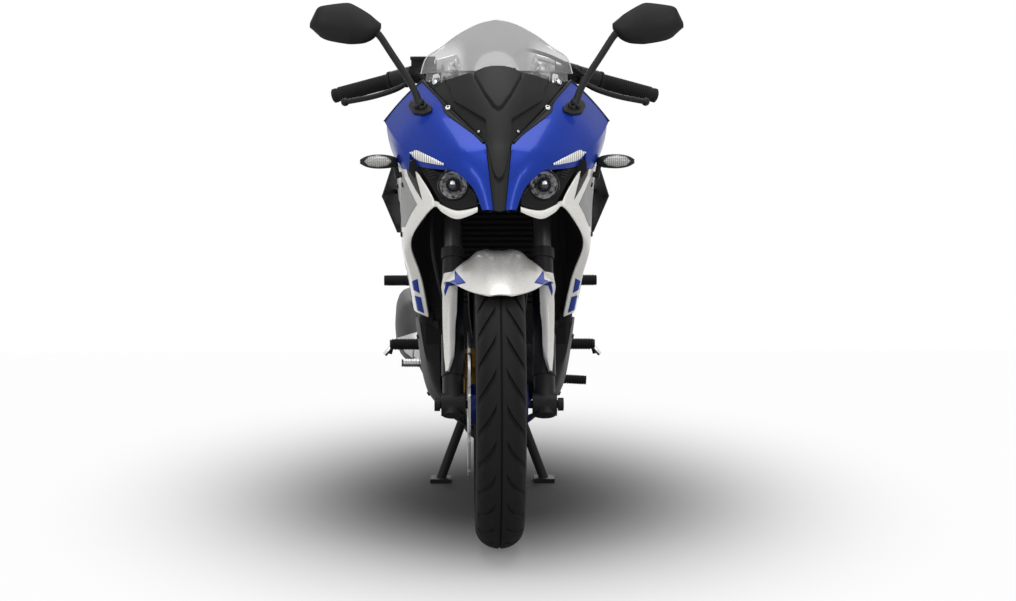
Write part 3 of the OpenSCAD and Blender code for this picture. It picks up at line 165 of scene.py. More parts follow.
class Graph:
    """A node tree, emptied, and the one method that adds nodes to it."""

    def __init__(self, tree):
        self.tree = tree
        tree.nodes.clear()

    def add(self, kind, settings, values, out=0):
        """One node: its settings, then its sockets; gives the output asked for, or the node for None."""
        node = self.tree.nodes.new(kind)
        for key, value in settings.items():
            setattr(node, key, value)
        for key, value in values.items():
            self.feed(node.inputs[key], value)
        return node if out is None else Socket(self, node.outputs[out])

    def feed(self, socket, value):
        """Links a socket or sets its value."""
        if isinstance(value, Socket):
            self.tree.links.new(value.link, socket)
        elif hasattr(value, "__len__") and socket.type == "RGBA" and len(value) == 3:
            socket.default_value = (*value, 1.0)
        else:
            socket.default_value = value

    def math(self, operation, *values):
        return self.add("ShaderNodeMath", {"operation": operation}, dict(enumerate(values)))

    def seen(self):
        """One for the rays that show the white studio: camera, transmission and glossy rays."""
        path = self.add("ShaderNodeLightPath", {}, {}, None)
        camera, clear, glossy = (Socket(self, path.outputs["Is %s Ray" % kind])
                                 for kind in ("Camera", "Transmission", "Glossy"))
        return self.math("MAXIMUM", self.math("MAXIMUM", camera, clear), glossy)


class Finish(Graph):
    """A material with a principled shader and helpers that add nodes."""

    def __init__(self, name, **constants):
        self.material = bpy.data.materials.new(name)
        self.material.use_nodes = True
        super().__init__(self.material.node_tree)
        self.shader = self.add("ShaderNodeBsdfPrincipled", {}, {}, None)
        self.lit = Socket(self, self.shader.outputs[0])
        self.output = self.add("ShaderNodeOutputMaterial", {}, {"Surface": self.lit}, None)
        self.at = self.add("ShaderNodeTexCoord", {}, {}, "Object")
        self.set(**constants)

    def set(self, **inputs):
        """Feeds inputs of the principled shader, named with underscores for spaces."""
        for key, value in inputs.items():
            self.feed(self.shader.inputs[key.replace("_", " ")], value)
        return self

    def base(self):
        """What feeds the base colour so far."""
        return Socket(self, self.shader.inputs["Base Color"].links[0].from_socket)

    def mix(self, share, first, second):
        return self.add("ShaderNodeMix", {"data_type": "RGBA"}, {0: share, 6: first, 7: second}, 2)

    def axis(self, name):
        return self.add("ShaderNodeSeparateXYZ", {}, {0: self.at}, name)

    def stretched(self, x, y, z):
        return self.add("ShaderNodeVectorMath", {"operation": "MULTIPLY"}, {0: self.at, 1: (x, y, z)})

    def noise(self, scale, detail=3.0, at=None, rough=0.5):
        return self.add("ShaderNodeTexNoise", {},
                        {"Vector": at or self.at, "Scale": scale, "Detail": detail, "Roughness": rough},
                        "Fac")

    def cells(self, scale, out="Distance"):
        return self.add("ShaderNodeTexVoronoi", {"feature": "F1"}, {"Vector": self.at, "Scale": scale}, out)

    def bump(self, height, distance, strength=0.5):
        self.set(Normal=self.add("ShaderNodeBump", {},
                                 {"Height": height, "Distance": distance, "Strength": strength}))
        return self

    def around(self, centre):
        """Distance from the X axis through a centre, for turned and tyre surfaces."""
        near = self.add("ShaderNodeVectorMath", {"operation": "SUBTRACT"}, {0: self.at, 1: centre})
        flat = self.add("ShaderNodeVectorMath", {"operation": "MULTIPLY"}, {0: near, 1: (0.0, 1.0, 1.0)})
        return self.add("ShaderNodeVectorMath", {"operation": "LENGTH"}, {0: flat}, "Value")


FINISHES = {}


def finish(name):
    """The material of a finish, made once."""
    if name not in FINISHES:
        FINISHES[name] = MAKERS[name]().material
    return FINISHES[name]


def colours():
    return bpy.context.scene.bike_paint


def tint(colour, share):
    """A colour, darker or lighter by a share."""
    return tuple(c * share for c in colour)


def lacquer(name, colour, metallic, deep=0.72):
    f = Finish(name, Coat_Weight=0.3, Coat_Roughness=0.03, Coat_IOR=1.35, Specular_IOR_Level=0.12)
    flake = f.cells(1700.0, out="Color")
    sparkle = f.add("ShaderNodeSeparateColor", {}, {0: flake}, "Red")
    cloud = f.noise(9.0, 2.0)
    share = sparkle * 0.55 + cloud * 0.45
    f.set(Base_Color=f.mix(share, tint(colour, deep), tuple(min(c * 1.22, 0.95) for c in colour)),
          Metallic=metallic, Roughness=0.26 + 0.10 * sparkle)
    return f.bump(f.noise(420.0, 1.0), 0.00003, 0.25)


def blue_paint():
    return lacquer("blue_paint", colours().blue, 0.30)


def wheel_paint():
    return lacquer("wheel_paint", colours().wheel_blue, 0.45)


def pearl_paint():
    return lacquer("pearl_paint", colours().pearl, 0.10, 0.90)


def silver_paint():
    """Metallic silver of the mudguard, with painted shade: a deeper grey towards its top, and black on its rear, a
    two-tone that also paints the shade there.
    """
    f = lacquer("silver_paint", colours().pearl, 0.55)
    tone = f.base()
    # Painted shade: the grey deepens towards the top of the guard, except on the outer blades.
    rise = f.axis("Z").step(0.535, 0.625)
    outer = f.math("ABSOLUTE", f.axis("X")).step(0.070, 0.086)
    deep = f.mix(rise, (0.94, 0.94, 0.94), (0.34, 0.34, 0.34))
    both = f.add("ShaderNodeMix", {"data_type": "RGBA", "blend_type": "MULTIPLY"},
                 {0: 1.0 - outer, 6: tone, 7: deep}, 2)
    # Black on the rear of the guard between the blades: a two-tone that also paints the shade over the rear.
    rear = f.axis("Y").step(FRONT_AXLE.y + 0.085, FRONT_AXLE.y + 0.090) * (1.0 - outer)
    return f.set(Base_Color=f.mix(rear, both, colours().black),
                 Metallic=0.45 - 0.40 * f.math("MAXIMUM", outer, rear))


def decal_blue():
    return lacquer("decal_blue", tint(colours().blue, 1.05), 0.05)


def moulded(name, colour, grain=1500.0, rough=0.42, depth=0.00012):
    f = Finish(name, Specular_IOR_Level=0.18)
    pits = f.cells(grain)
    shade = f.noise(14.0, 4.0)
    f.set(Base_Color=f.mix(shade, tint(colour, 0.80), tint(colour, 1.25)),
          Roughness=rough + 0.10 * shade + 0.06 * f.noise(160.0, 2.0))
    return f.bump(pits, depth, 0.5)


def black_plastic():
    return moulded("black_plastic", colours().black)


def bar_finish():
    """Bright stubs inside the clamps, black bars outside them."""
    f = brushed("bar_finish", (0.78, 0.78, 0.79), 0.12, (60.0, 900.0, 900.0))
    side = f.math("ABSOLUTE", f.axis("X")).step(0.126, 0.128)
    grain = f.noise(300.0)
    black = f.mix(grain, (0.014, 0.014, 0.014), (0.024, 0.024, 0.024))
    return f.set(Base_Color=f.mix(side, (0.50, 0.50, 0.51), black),
                 Metallic=1.0 - side, Roughness=0.26 + 0.12 * side + 0.06 * grain)


def cover_paint():
    """Body blue above, satin black on the covers under the tail."""
    f = blue_paint()
    f.material.name = "cover_paint"
    edge = f.axis("Y") * 0.12 + 0.727
    low = (edge - f.axis("Z")).step(0.0, 0.002)
    blue = f.base()
    black = f.mix(f.noise(14.0), tint(colours().black, 0.8), tint(colours().black, 1.2))
    return f.set(Base_Color=f.mix(low, blue, black), Metallic=0.30 - 0.30 * low,
                 Roughness=0.30 + 0.16 * low, Coat_Weight=0.3 - 0.28 * low)


def projector_glass():
    f = Finish("projector_glass", IOR=1.5, Coat_Weight=0.3, Coat_Roughness=0.01)
    deep = f.noise(45.0, 2.0)
    wide, high = f.math("ABSOLUTE", f.axis("X")), f.axis("Z")
    # Painted highlight: a bright patch on the upper inner part of the eye.
    painted_glint = wide.step(0.089, 0.091) * (1.0 - wide.step(0.098, 0.100))
    painted_glint = painted_glint * high.step(0.7470, 0.7485) * (1.0 - high.step(0.7535, 0.7550))
    dark = f.mix(deep, (0.012, 0.013, 0.018), (0.060, 0.064, 0.080))
    return f.set(Base_Color=f.mix(painted_glint, dark, (0.86, 0.87, 0.90)), Roughness=0.05 + 0.05 * deep,
                 Metallic=0.35 + 0.2 * deep)


def seam_thread():
    f = Finish("seam_thread")
    twist = f.noise(1.0, 2.0, f.stretched(900.0, 900.0, 900.0))
    f.set(Base_Color=f.mix(twist, (0.05, 0.05, 0.052), (0.16, 0.16, 0.165)), Roughness=0.55 + 0.2 * twist)
    return f.bump(twist, 0.0004, 0.6)


def gloss_black():
    return moulded("gloss_black", (0.010, 0.010, 0.010), 900.0, 0.16, 0.00003)


def grey_plastic():
    return moulded("grey_plastic", colours().grey, 1300.0, 0.38)


def light_plastic():
    return moulded("light_plastic", (0.33, 0.33, 0.33), 1300.0, 0.45)


# Near black, darker than the satin black plastic: partly the real black of inner mouldings, partly painted shade
# in the hollows, slits and gaps where it lies.
def inner_black():
    return moulded("inner_black", (0.004, 0.004, 0.004), 1100.0, 0.6)


def cast_metal(name="cast_metal", colour=(0.060, 0.060, 0.062), rough=0.50, metallic=0.75):
    f = Finish(name, Metallic=metallic, Specular_IOR_Level=0.2)
    grit = f.noise(700.0, 4.0)
    stain = f.noise(11.0, 4.0)
    f.set(Base_Color=f.mix(stain, tint(colour, 0.75), tint(colour, 1.3)),
          Roughness=rough + 0.14 * stain)
    return f.bump(grit, 0.0004, 0.4)


def frame_paint():
    return cast_metal("frame_paint", (0.011, 0.011, 0.012), 0.40, 0.3)


def fork_metal():
    return cast_metal("fork_metal", (0.012, 0.012, 0.0125), 0.38, 0.3)


def brushed(name, colour, rough, stretch):
    f = Finish(name, Metallic=1.0)
    hair = f.noise(1.0, 5.0, f.stretched(*stretch), 0.6)
    tone = f.noise(16.0, 3.0)
    f.set(Base_Color=f.mix(tone, tint(colour, 0.86), colour), Roughness=rough + 0.16 * hair)
    return f.bump(hair, 0.00006, 0.4)


def satin_steel():
    return brushed("satin_steel", (0.62, 0.62, 0.63), 0.22, (40.0, 1500.0, 1500.0))


def bright_steel():
    return brushed("bright_steel", (0.78, 0.78, 0.79), 0.12, (60.0, 900.0, 900.0))


def tube_steel():
    return cast_metal("tube_steel", (0.070, 0.070, 0.072), 0.30, 0.7)


def shield_steel():
    return brushed("shield_steel", (0.50, 0.50, 0.50), 0.30, (700.0, 30.0, 700.0))


def bronze_anodised():
    return cast_metal("bronze_anodised", colours().bronze, 0.30)


def ground_disc(name, centre):
    f = Finish(name, Metallic=1.0)
    rings = f.noise(1.0, 4.0, f.add("ShaderNodeCombineXYZ", {}, {0: f.around(centre) * 2600.0}), 0.7)
    heat = f.noise(24.0, 3.0)
    f.set(Base_Color=f.mix(heat, (0.24, 0.24, 0.24), (0.40, 0.40, 0.40)), Roughness=0.20 + 0.22 * rings)
    return f.bump(rings, 0.00008, 0.5)


def front_disc_steel():
    return ground_disc("front_disc_steel", FRONT_AXLE)


def rear_disc_steel():
    return ground_disc("rear_disc_steel", REAR_AXLE)


def tread_rubber(name, centre, radius):
    f = Finish(name, Specular_IOR_Level=0.15)
    colour = colours().tyre
    reach = f.around(centre)
    worn = reach.step(radius - 0.012, radius)
    dust = f.noise(60.0, 5.0)
    grain = f.noise(1300.0, 3.0)
    lines = f.noise(1.0, 2.0, f.add("ShaderNodeCombineXYZ", {}, {0: reach * 420.0}))
    f.set(Base_Color=f.mix(worn * 0.75 + dust * 0.25, tint(colour, 0.62), tint(colour, 1.30)),
          Roughness=0.62 + 0.20 * dust)
    return f.bump(grain * 0.5 + lines * 0.5, 0.0003, 0.45)


def front_rubber():
    return tread_rubber("front_rubber", FRONT_AXLE, 0.296)


def rear_rubber():
    return tread_rubber("rear_rubber", REAR_AXLE, 0.307)


def soft_rubber():
    return moulded("soft_rubber", (0.010, 0.010, 0.010), 800.0, 0.66, 0.0003)


def seat_leather():
    f = Finish("seat_leather", Sheen_Weight=0.15)
    grain = f.cells(620.0)
    crease = f.noise(38.0, 5.0)
    f.set(Base_Color=f.mix(grain * 0.6 + crease * 0.4, (0.008, 0.008, 0.009), (0.040, 0.040, 0.041)),
          Roughness=0.46 + 0.18 * crease)
    return f.bump(grain * 0.7 + crease * 0.3, 0.0006, 0.6)


def smoked_screen():
    """Grey tint that thins towards the lower corners."""
    f = Finish("smoked_screen", IOR=1.49, Roughness=0.05, Specular_IOR_Level=0.3)
    haze = f.noise(7.0, 3.0)
    corner = f.math("ABSOLUTE", f.axis("X")).step(0.052, 0.088) * (1.0 - f.axis("Z").step(1.005, 1.060))
    f.set(Base_Color=f.mix(haze, (0.300, 0.300, 0.302), (0.350, 0.350, 0.352)),
          Alpha=0.82 + 0.06 * haze - 0.55 * corner)
    return f


def clear_lens():
    f = Finish("clear_lens", IOR=1.45, Roughness=0.03, Specular_IOR_Level=0.10)
    f.set(Base_Color=f.mix(f.noise(30.0), (0.06, 0.06, 0.07), (0.12, 0.12, 0.13)),
          Alpha=0.03 + 0.04 * f.noise(90.0))
    return f


def lit_lens():
    f = Finish("lit_lens", IOR=1.45, Roughness=0.16, Coat_Weight=0.8, Emission_Strength=0.12)
    ribs = f.add("ShaderNodeTexWave", {"wave_type": "BANDS", "bands_direction": "X"},
                 {"Vector": f.at, "Scale": 70.0, "Distortion": 0.5, "Detail": 1.0}, "Fac")
    f.set(Base_Color=f.mix(ribs, (0.30, 0.30, 0.29), (0.86, 0.86, 0.83)),
          Emission_Color=f.mix(ribs, (0.2, 0.2, 0.2), (1, 1, 0.97)))
    return f.bump(ribs, 0.0008, 0.7)


def reflector():
    f = Finish("reflector", Metallic=0.45)
    facets_and_painted_reflections = f.cells(120.0)
    # Painted reflections: bright and dark facets in the base colour of the bowl; the same cells give the real
    # facets their roughness and bumps.
    f.set(Base_Color=f.mix(facets_and_painted_reflections.step(0.35, 0.85), (0.90, 0.90, 0.92), (0.06, 0.06, 0.064)),
          Roughness=0.06 + 0.10 * facets_and_painted_reflections)
    return f.bump(facets_and_painted_reflections, 0.0016, 0.7)


def turn_glass():
    f = Finish("turn_glass", IOR=1.45, Coat_Weight=0.6)
    ribs = f.add("ShaderNodeTexWave", {"wave_type": "BANDS", "bands_direction": "X"},
                 {"Vector": f.at, "Scale": 75.0, "Distortion": 0.6, "Detail": 1.0}, "Fac")
    f.set(Base_Color=f.mix(ribs, (0.20, 0.20, 0.195), (0.42, 0.42, 0.40)), Roughness=0.12 + 0.12 * ribs)
    return f.bump(ribs, 0.0006, 0.6)


def dash_glass():
    f = Finish("dash_glass", Coat_Weight=0.8, Coat_Roughness=0.02)
    sheen = f.noise(20.0, 3.0)
    f.set(Base_Color=f.mix(sheen, (0.010, 0.014, 0.016), (0.028, 0.036, 0.040)),
          Roughness=0.08 + 0.08 * sheen)
    return f


def red_lens():
    f = Finish("red_lens", Roughness=0.10, Coat_Weight=1.0)
    ribs = f.cells(240.0)
    f.set(Base_Color=f.mix(ribs, (0.28, 0.004, 0.004), (0.62, 0.02, 0.02)))
    return f.bump(ribs, 0.0008, 0.6)


def bead_clear():
    f = Finish("bead_clear", Roughness=0.12, Coat_Weight=0.5)
    f.set(Base_Color=f.mix(f.noise(60.0), (0.50, 0.50, 0.56), (0.72, 0.72, 0.76)))
    return f


def mirror_glass():
    f = Finish("mirror_glass", Metallic=1.0)
    f.set(Base_Color=f.mix(f.noise(5.0), (0.74, 0.76, 0.78), (0.80, 0.82, 0.84)),
          Roughness=0.02 + 0.02 * f.noise(40.0))
    return f


def chain_steel():
    return cast_metal("chain_steel", (0.240, 0.200, 0.130), 0.34)


def core_fins():
    return moulded("core_fins", (0.004, 0.004, 0.004), 600.0, 0.6, 0.0002)


MAKERS = {maker.__name__: maker
          for maker in (silver_paint, turn_glass, dash_glass, bar_finish, cover_paint, projector_glass,
                        seam_thread, blue_paint, wheel_paint, pearl_paint, decal_blue, black_plastic,
                        gloss_black, grey_plastic, light_plastic, inner_black, cast_metal, frame_paint,
                        fork_metal, satin_steel, bright_steel, tube_steel, shield_steel, bronze_anodised,
                        front_disc_steel, rear_disc_steel, front_rubber, rear_rubber, soft_rubber,
                        seat_leather, smoked_screen, clear_lens, bead_clear, lit_lens, reflector, red_lens,
                        mirror_glass, chain_steel, core_fins)}


def piece(name, mesh, body, material):
    """A new object that rides on a body, with its finish."""
    obj = bpy.data.objects.new(name, mesh)
    bpy.context.scene.collection.objects.link(obj)
    mesh.materials.clear()
    mesh.materials.append(finish(material))
    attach(obj, body)
    return obj


SKINS = {}
TREES = {}


def smooth(mesh, angle):
    """Smooth shading, with edges kept sharp beyond an angle in degrees."""
    mesh.shade_smooth()
    mesh.set_sharp_from_angle(angle=math.radians(angle))


def rounded(obj, width, segments, angle):
    """Rounds the edges of an object that are sharper than an angle in degrees."""
    rim = obj.modifiers.new("edges", "BEVEL")
    rim.width, rim.segments = width, segments
    rim.limit_method = "ANGLE"
    rim.angle_limit = math.radians(angle)
    return rim


def dressed(node, material, sharp=38, levels=0, bevel=0.0):
    """The solid of a node, welded, with rounded edges or a smooth skin, in its finish."""
    mesh = frame["nodes"][node].data.copy()
    mesh.name = node + "_skin"
    work = bmesh.new()
    work.from_mesh(mesh)
    bmesh.ops.remove_doubles(work, verts=work.verts, dist=WELD)
    bmesh.ops.dissolve_degenerate(work, dist=TINY, edges=work.edges)
    flat = 28 if levels else 1
    bmesh.ops.join_triangles(work, faces=work.faces, cmp_seam=False, cmp_sharp=False, cmp_uvs=False,
                             cmp_vcols=False, cmp_materials=False, angle_face_threshold=math.radians(flat),
                             angle_shape_threshold=math.radians(60))
    if levels:
        crease = work.edges.layers.float.new("crease_edge")
        for edge in work.edges:
            if len(edge.link_faces) == 2 and edge.calc_face_angle(0.0) > math.radians(sharp):
                edge[crease] = 0.9
    else:
        bmesh.ops.dissolve_limit(work, angle_limit=math.radians(flat), verts=work.verts, edges=work.edges)
    work.to_mesh(mesh)
    work.free()
    smooth(mesh, sharp)
    obj = piece(node + "_skin", mesh, BODY_OF[node], material)
    if levels:
        skin = obj.modifiers.new("skin", "SUBSURF")
        skin.levels = skin.render_levels = levels
    if bevel:
        rounded(obj, bevel, 2, sharp).harden_normals = True
    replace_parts(obj, node)
    SKINS[node] = obj


def skin_tree(node):
    """A tree for casting rays on the finished skin of a node."""
    if node not in TREES:
        TREES[node] = BVHTree.FromObject(SKINS[node], bpy.context.evaluated_depsgraph_get())
    return TREES[node]


def camera_axes():
    """Camera place, forward, right and up, from the stage's settings."""
    stage = bpy.context.scene.bike_stage
    away = Vector((math.sin(stage.azimuth) * math.cos(stage.elevation),
                   -math.cos(stage.azimuth) * math.cos(stage.elevation), math.sin(stage.elevation)))
    right = (-away).cross(Vector((0, 0, 1))).normalized()
    return Vector(stage.target) + away * stage.distance, -away, right, right.cross(-away)


def focal():
    """Focal length of the camera, in spots of the picture."""
    return bpy.context.scene.bike_stage.lens / SENSOR * PICTURE_WIDE


def sight(across, down, side):
    """The line of sight through a spot of the picture; side -1 gives its mirror image."""
    at, forward, right, up = camera_axes()
    over, rise = across - PICTURE_WIDE / 2, PICTURE_HIGH / 2 - down
    way = forward + right * (over / focal()) + up * (rise / focal())
    return mirrored(at, side), mirrored(way.normalized(), side)


def sight_at(across, down, side, depth):
    """The place on a line of sight at a depth that is a function of the side place, in millimetres."""
    start, way = sight(across, down, side)
    spot = start + way * ((FRONT_AXLE.y - start.y) / way.y)
    for _ in range(4):
        spot = start + way * ((FRONT_AXLE.y + depth(abs(spot.x) * 1000) / 1000 - start.y) / way.y)
    return spot


def picture_spot(at):
    """Where a place is seen in the picture, folded to the bike's right half."""
    eye, forward, right, up = camera_axes()
    to = Vector((-abs(at.x), at.y, at.z)) - eye
    scale = focal() / to.dot(forward)
    return PICTURE_WIDE / 2 + to.dot(right) * scale, PICTURE_HIGH / 2 - to.dot(up) * scale


def beside(spot, line):
    """Distance from a spot to an open line."""
    x, y = spot
    best = math.inf
    for (ax, ay), (bx, by) in zip(line, line[1:]):
        ex, ey = bx - ax, by - ay
        t = max(0.0, min(1.0, ((x - ax) * ex + (y - ay) * ey) / (ex * ex + ey * ey)))
        best = min(best, math.hypot(x - ax - t * ex, y - ay - t * ey))
    return best


def within(spot, outline):
    """Distance from a spot to an outline, above zero inside it."""
    x, y = spot
    closed = (*outline, outline[0])
    inside = False
    for (ax, ay), (bx, by) in zip(closed, closed[1:]):
        if (ay > y) != (by > y) and x < ax + (y - ay) * (bx - ax) / (by - ay):
            inside = not inside
    return beside(spot, closed) if inside else -beside(spot, closed)


def eased(t):
    """A soft step from 0 at 0 to 1 at 1."""
    t = max(0.0, min(1.0, t))
    return t * t * (3 - 2 * t)


def level(line, across):
    """Height of a line over the picture at a place across it."""
    for (ax, ay), (bx, by) in zip(line, line[1:]):
        if ax <= across <= bx:
            return ay + (by - ay) * (across - ax) / (bx - ax)
    return line[0][1] if across < line[0][0] else line[-1][1]


def made_mesh(obj):
    """The mesh that an object's modifiers make."""
    return bpy.data.meshes.new_from_object(obj.evaluated_get(bpy.context.evaluated_depsgraph_get()))


def keep(node, mesh):
    """Gives a skin a finished mesh in place of its modifiers."""
    SKINS[node].modifiers.clear()
    SKINS[node].data = mesh
    TREES.pop(node, None)


def trim_top(node, old, new, reach):
    """Draws the upper border of a skin from one line of the picture down to another, along the skin."""
    tree = skin_tree(node)
    mesh = made_mesh(SKINS[node])
    for vert in mesh.vertices:
        across, down = picture_spot(vert.co)
        high, low = level(old, across), level(new, across)
        if down < low + reach and low > high:
            aim = low + (max(down, high) - high) * reach / (low + reach - high)
            side = 1 if vert.co.x < 0 else -1
            a = tree.ray_cast(*sight(across, max(down, high + 0.7), side))[0]
            b = tree.ray_cast(*sight(across, max(aim, high + 0.7), side))[0]
            if a is not None and b is not None:
                vert.co += b - a
    keep(node, mesh)


def reshape(node, rows, near, top):
    """Moves the sides of a skin from seen edges to wanted ones, beyond a side place and below a height."""
    mesh = made_mesh(SKINS[node])
    eye, forward, _, _ = camera_axes()
    for vert in mesh.vertices:
        if abs(vert.co.x) > near and vert.co.z < top:
            across, down = picture_spot(vert.co)
            edges = (level([(row[0], row[k]) for row in rows], down) for k in (1, 2, 3, 4))
            outer, inner, new_outer, new_inner = edges
            share = (across - outer) / (inner - outer)
            move = new_outer + share * (new_inner - new_outer) - across
            soft = min(1.0, (top - vert.co.z) / 0.02)
            scale = focal() / (vert.co - eye).dot(forward)
            vert.co.x += math.copysign(move * soft / scale, -vert.co.x)
    keep(node, mesh)


def ease(node, at, shift, reach):
    """Shifts the part of a skin around a place, fading out within a reach."""
    for vert in SKINS[node].data.vertices:
        vert.co += shift * eased(1 - (vert.co - at).length / reach)
    TREES.pop(node, None)


def emboss(node, fields, lines=()):
    """Raises fields on the front of a skin and cuts lines as grooves.

    A field is its height in metres, its softness in picture spots and its outline, and a line is its depth,
    its half width in picture spots and its points.
    """
    mesh = made_mesh(SKINS[node])
    eye = camera_axes()[0]
    moves = []
    for vert in mesh.vertices:
        rise = 0.0
        if vert.normal.dot(eye - vert.co) > 0.0:
            spot = picture_spot(vert.co)
            for height, soft, outline in fields:
                rise += height * eased(0.5 + within(spot, outline) / soft / 2)
            for depth, half, line in lines:
                rise -= depth * eased(1.0 - beside(spot, line) / half)
        moves.append(vert.normal * rise)
    for vert, move in zip(mesh.vertices, moves):
        vert.co += move
    keep(node, mesh)


def from_side(d, h, side):
    """A line from the left of the bike, or its right for side -1, at a depth and height in millimetres."""
    return place(800 * side, d, h), Vector((-side, 0, 0))


def from_behind(x, h, side):
    """A line from behind the bike at a side place and height in millimetres."""
    return place(x * side, 2000, h), Vector((0, -1, 0))


def on_skin(node, line, across, down, side):
    """Where a line meets the skin of a node, and the outward direction there."""
    start, way = line(across, down, side)
    hit, normal, _, _ = skin_tree(node).ray_cast(start, way)
    if hit is None:
        hit, normal, _, _ = skin_tree(node).find_nearest(
            start + way * max(0.1, (FRONT_AXLE - start).dot(way)))
    return hit, normal if normal.dot(way) < 0 else -normal


# How far a laid plate reaches below the skin under it, in metres
SUNK = 0.0008


def drape(name, node, outline, lift, material, line=sight, step=4.0, sides=(1, -1), edge=0.0):
    """Plates laid on the skin of a node, with an outline seen along the lines and a lift above the skin."""
    for side in sides:
        work = bmesh.new()
        work.faces.new([work.verts.new((a, 0, -b)) for a, b in outline])
        bmesh.ops.triangulate(work, faces=work.faces[:])
        for _ in range(7):
            long = [e for e in work.edges if e.calc_length() > step]
            if not long:
                break
            bmesh.ops.subdivide_edges(work, edges=long, cuts=1)
            bmesh.ops.triangulate(work, faces=work.faces[:])
        bmesh.ops.beautify_fill(work, faces=work.faces[:],
                                edges=[e for e in work.edges if len(e.link_faces) == 2])
        way = line(*outline[0], side)[1]
        missed = []
        for vert in work.verts:
            start, ray = line(vert.co.x, -vert.co.z, side)
            hit, normal, _, _ = skin_tree(node).ray_cast(start, ray)
            if hit is None:
                missed.append(vert)
            else:
                vert.co = hit + (normal if normal.dot(ray) < 0 else -normal) * lift
        bmesh.ops.delete(work, geom=missed, context="VERTS")
        jumps = [e for e in work.edges if e.calc_length() > 0.012 + step * 0.004]
        bmesh.ops.delete(work, geom=jumps, context="EDGES")
        work.normal_update()
        if sum(face.normal.dot(way) * face.calc_area() for face in work.faces) > 0:
            bmesh.ops.reverse_faces(work, faces=work.faces[:])
        mesh = bpy.data.meshes.new(name)
        work.to_mesh(mesh)
        work.free()
        smooth(mesh, 50)
        tag = tag_of(sum(vert.co.x for vert in mesh.vertices)) if len(sides) > 1 else ""
        obj = piece(name + tag, mesh, BODY_OF[node], material)
        solid = obj.modifiers.new("wall", "SOLIDIFY")
        solid.thickness = lift + SUNK
        solid.offset = -1
        if edge:
            rounded(obj, edge, 3, 50)


class Build:
    """A mesh made from turned, swept and laid pieces, given in metres."""

    def __init__(self):
        self.work = bmesh.new()

    def rings(self, rings, caps=True, closed=True):
        """A skin over rings of the same number of points."""
        rows = [[self.work.verts.new(p) for p in ring] for ring in rings]
        for a, b in zip(rows, rows[1:]):
            for j in range(len(a) if closed else len(a) - 1):
                k = (j + 1) % len(a)
                self.work.faces.new((a[j], a[k], b[k], b[j]))
        if caps and closed:
            self.work.faces.new(rows[0][::-1])
            self.work.faces.new(rows[-1])
        return self

    def turn(self, profile, at, axis, n=24, caps=True):
        """A turned piece: radius and distance along the axis from a place."""
        axis = axis.normalized()
        one = axis.orthogonal().normalized()
        two = axis.cross(one)
        spokes = [one * math.cos(2 * math.pi * i / n) + two * math.sin(2 * math.pi * i / n)
                  for i in range(n)]
        return self.rings([[at + axis * t + spoke * max(r, 1e-5) for spoke in spokes] for r, t in profile],
                          caps)

    def tube(self, points, radius, n=10):
        """A round bar swept through points."""
        rings = []
        ref = None
        for i, at in enumerate(points):
            way = (points[min(i + 1, len(points) - 1)] - points[max(i - 1, 0)]).normalized()
            ref = way.orthogonal() if ref is None else ref
            ref = (ref - way * ref.dot(way)).normalized()
            other = way.cross(ref)
            rings.append([at + (ref * math.cos(2 * math.pi * k / n)
                                + other * math.sin(2 * math.pi * k / n)) * radius for k in range(n)])
        return self.rings(rings)

    def screw(self, at, normal, radius):
        """A round screw head with a socket."""
        r = radius
        return self.turn([(0, 0.22 * r), (0.42 * r, 0.22 * r), (0.46 * r, 0.62 * r), (0.72 * r, 0.62 * r),
                          (0.94 * r, 0.42 * r), (r, 0.2 * r), (r, -0.4 * r), (0, -0.4 * r)], at, normal, 20,
                         caps=False)

    def done(self, name, body, material, angle=38, bevel=0.0):
        """The finished piece, with edges smooth up to an angle in degrees."""
        bmesh.ops.remove_doubles(self.work, verts=self.work.verts, dist=WELD)
        bmesh.ops.dissolve_degenerate(self.work, dist=TINY, edges=self.work.edges)
        bmesh.ops.recalc_face_normals(self.work, faces=self.work.faces)
        mesh = bpy.data.meshes.new(name)
        self.work.to_mesh(mesh)
        self.work.free()
        smooth(mesh, angle)
        obj = piece(name, mesh, body, material)
        if bevel:
            rounded(obj, bevel, 2, angle)
        return obj


def curve(points, steps):
    """Points on a smooth curve through points, given as vectors."""
    made = []
    last = len(points) - 1
    for i in range(last):
        a, b, c, d = points[max(i - 1, 0)], points[i], points[i + 1], points[min(i + 2, last)]
        for k in range(steps):
            t = k / steps
            bend = (2 * a - 5 * b + 4 * c - d) * t * t
            made.append(0.5 * (2 * b + (c - a) * t + bend + (3 * b - a - 3 * c + d) * t ** 3))
    return made + [points[-1]]


class BIKE_OT_machined(bpy.types.Operator):
    """Finishes the frame, engine, fork and other metal pieces"""

    bl_idname = "bike.machined"
    bl_label = "Metal pieces"

    WORK = (("frame", "frame_paint", 0.0015), ("engine", "cast_metal", 0.0020),
            ("radiator", "core_fins", 0.0008), ("swingarm", "frame_paint", 0.0015),
            ("rear_axle", "satin_steel", 0.0008), ("monoshock", "satin_steel", 0.0),
            ("rear_caliper", "cast_metal", 0.0010), ("fairing_stay", "frame_paint", 0.0010),
            ("foot_pegs", "frame_paint", 0.0010), ("pedals", "satin_steel", 0.0008),
            ("yokes", "frame_paint", 0.0012), ("fork_tubes", "tube_steel", 0.0010),
            ("fork_legs", "fork_metal", 0.0010), ("front_axle", "frame_paint", 0.0008),
            ("clip_ons", "bar_finish", 0.0008), ("front_caliper", "bronze_anodised", 0.0015),
            ("front_disc", "front_disc_steel", 0.0005), ("rear_disc", "rear_disc_steel", 0.0005),
            ("front_rim", "wheel_paint", 0.0020), ("rear_rim", "wheel_paint", 0.0020),
            ("centre_stand", "frame_paint", 0.0010), ("side_stand", "frame_paint", 0.0010),
            ("filler_cap", "satin_steel", 0.0010))

    def execute(self, context):
        for node, material, edge in self.WORK:
            dressed(node, material, bevel=edge)
        return {"FINISHED"}


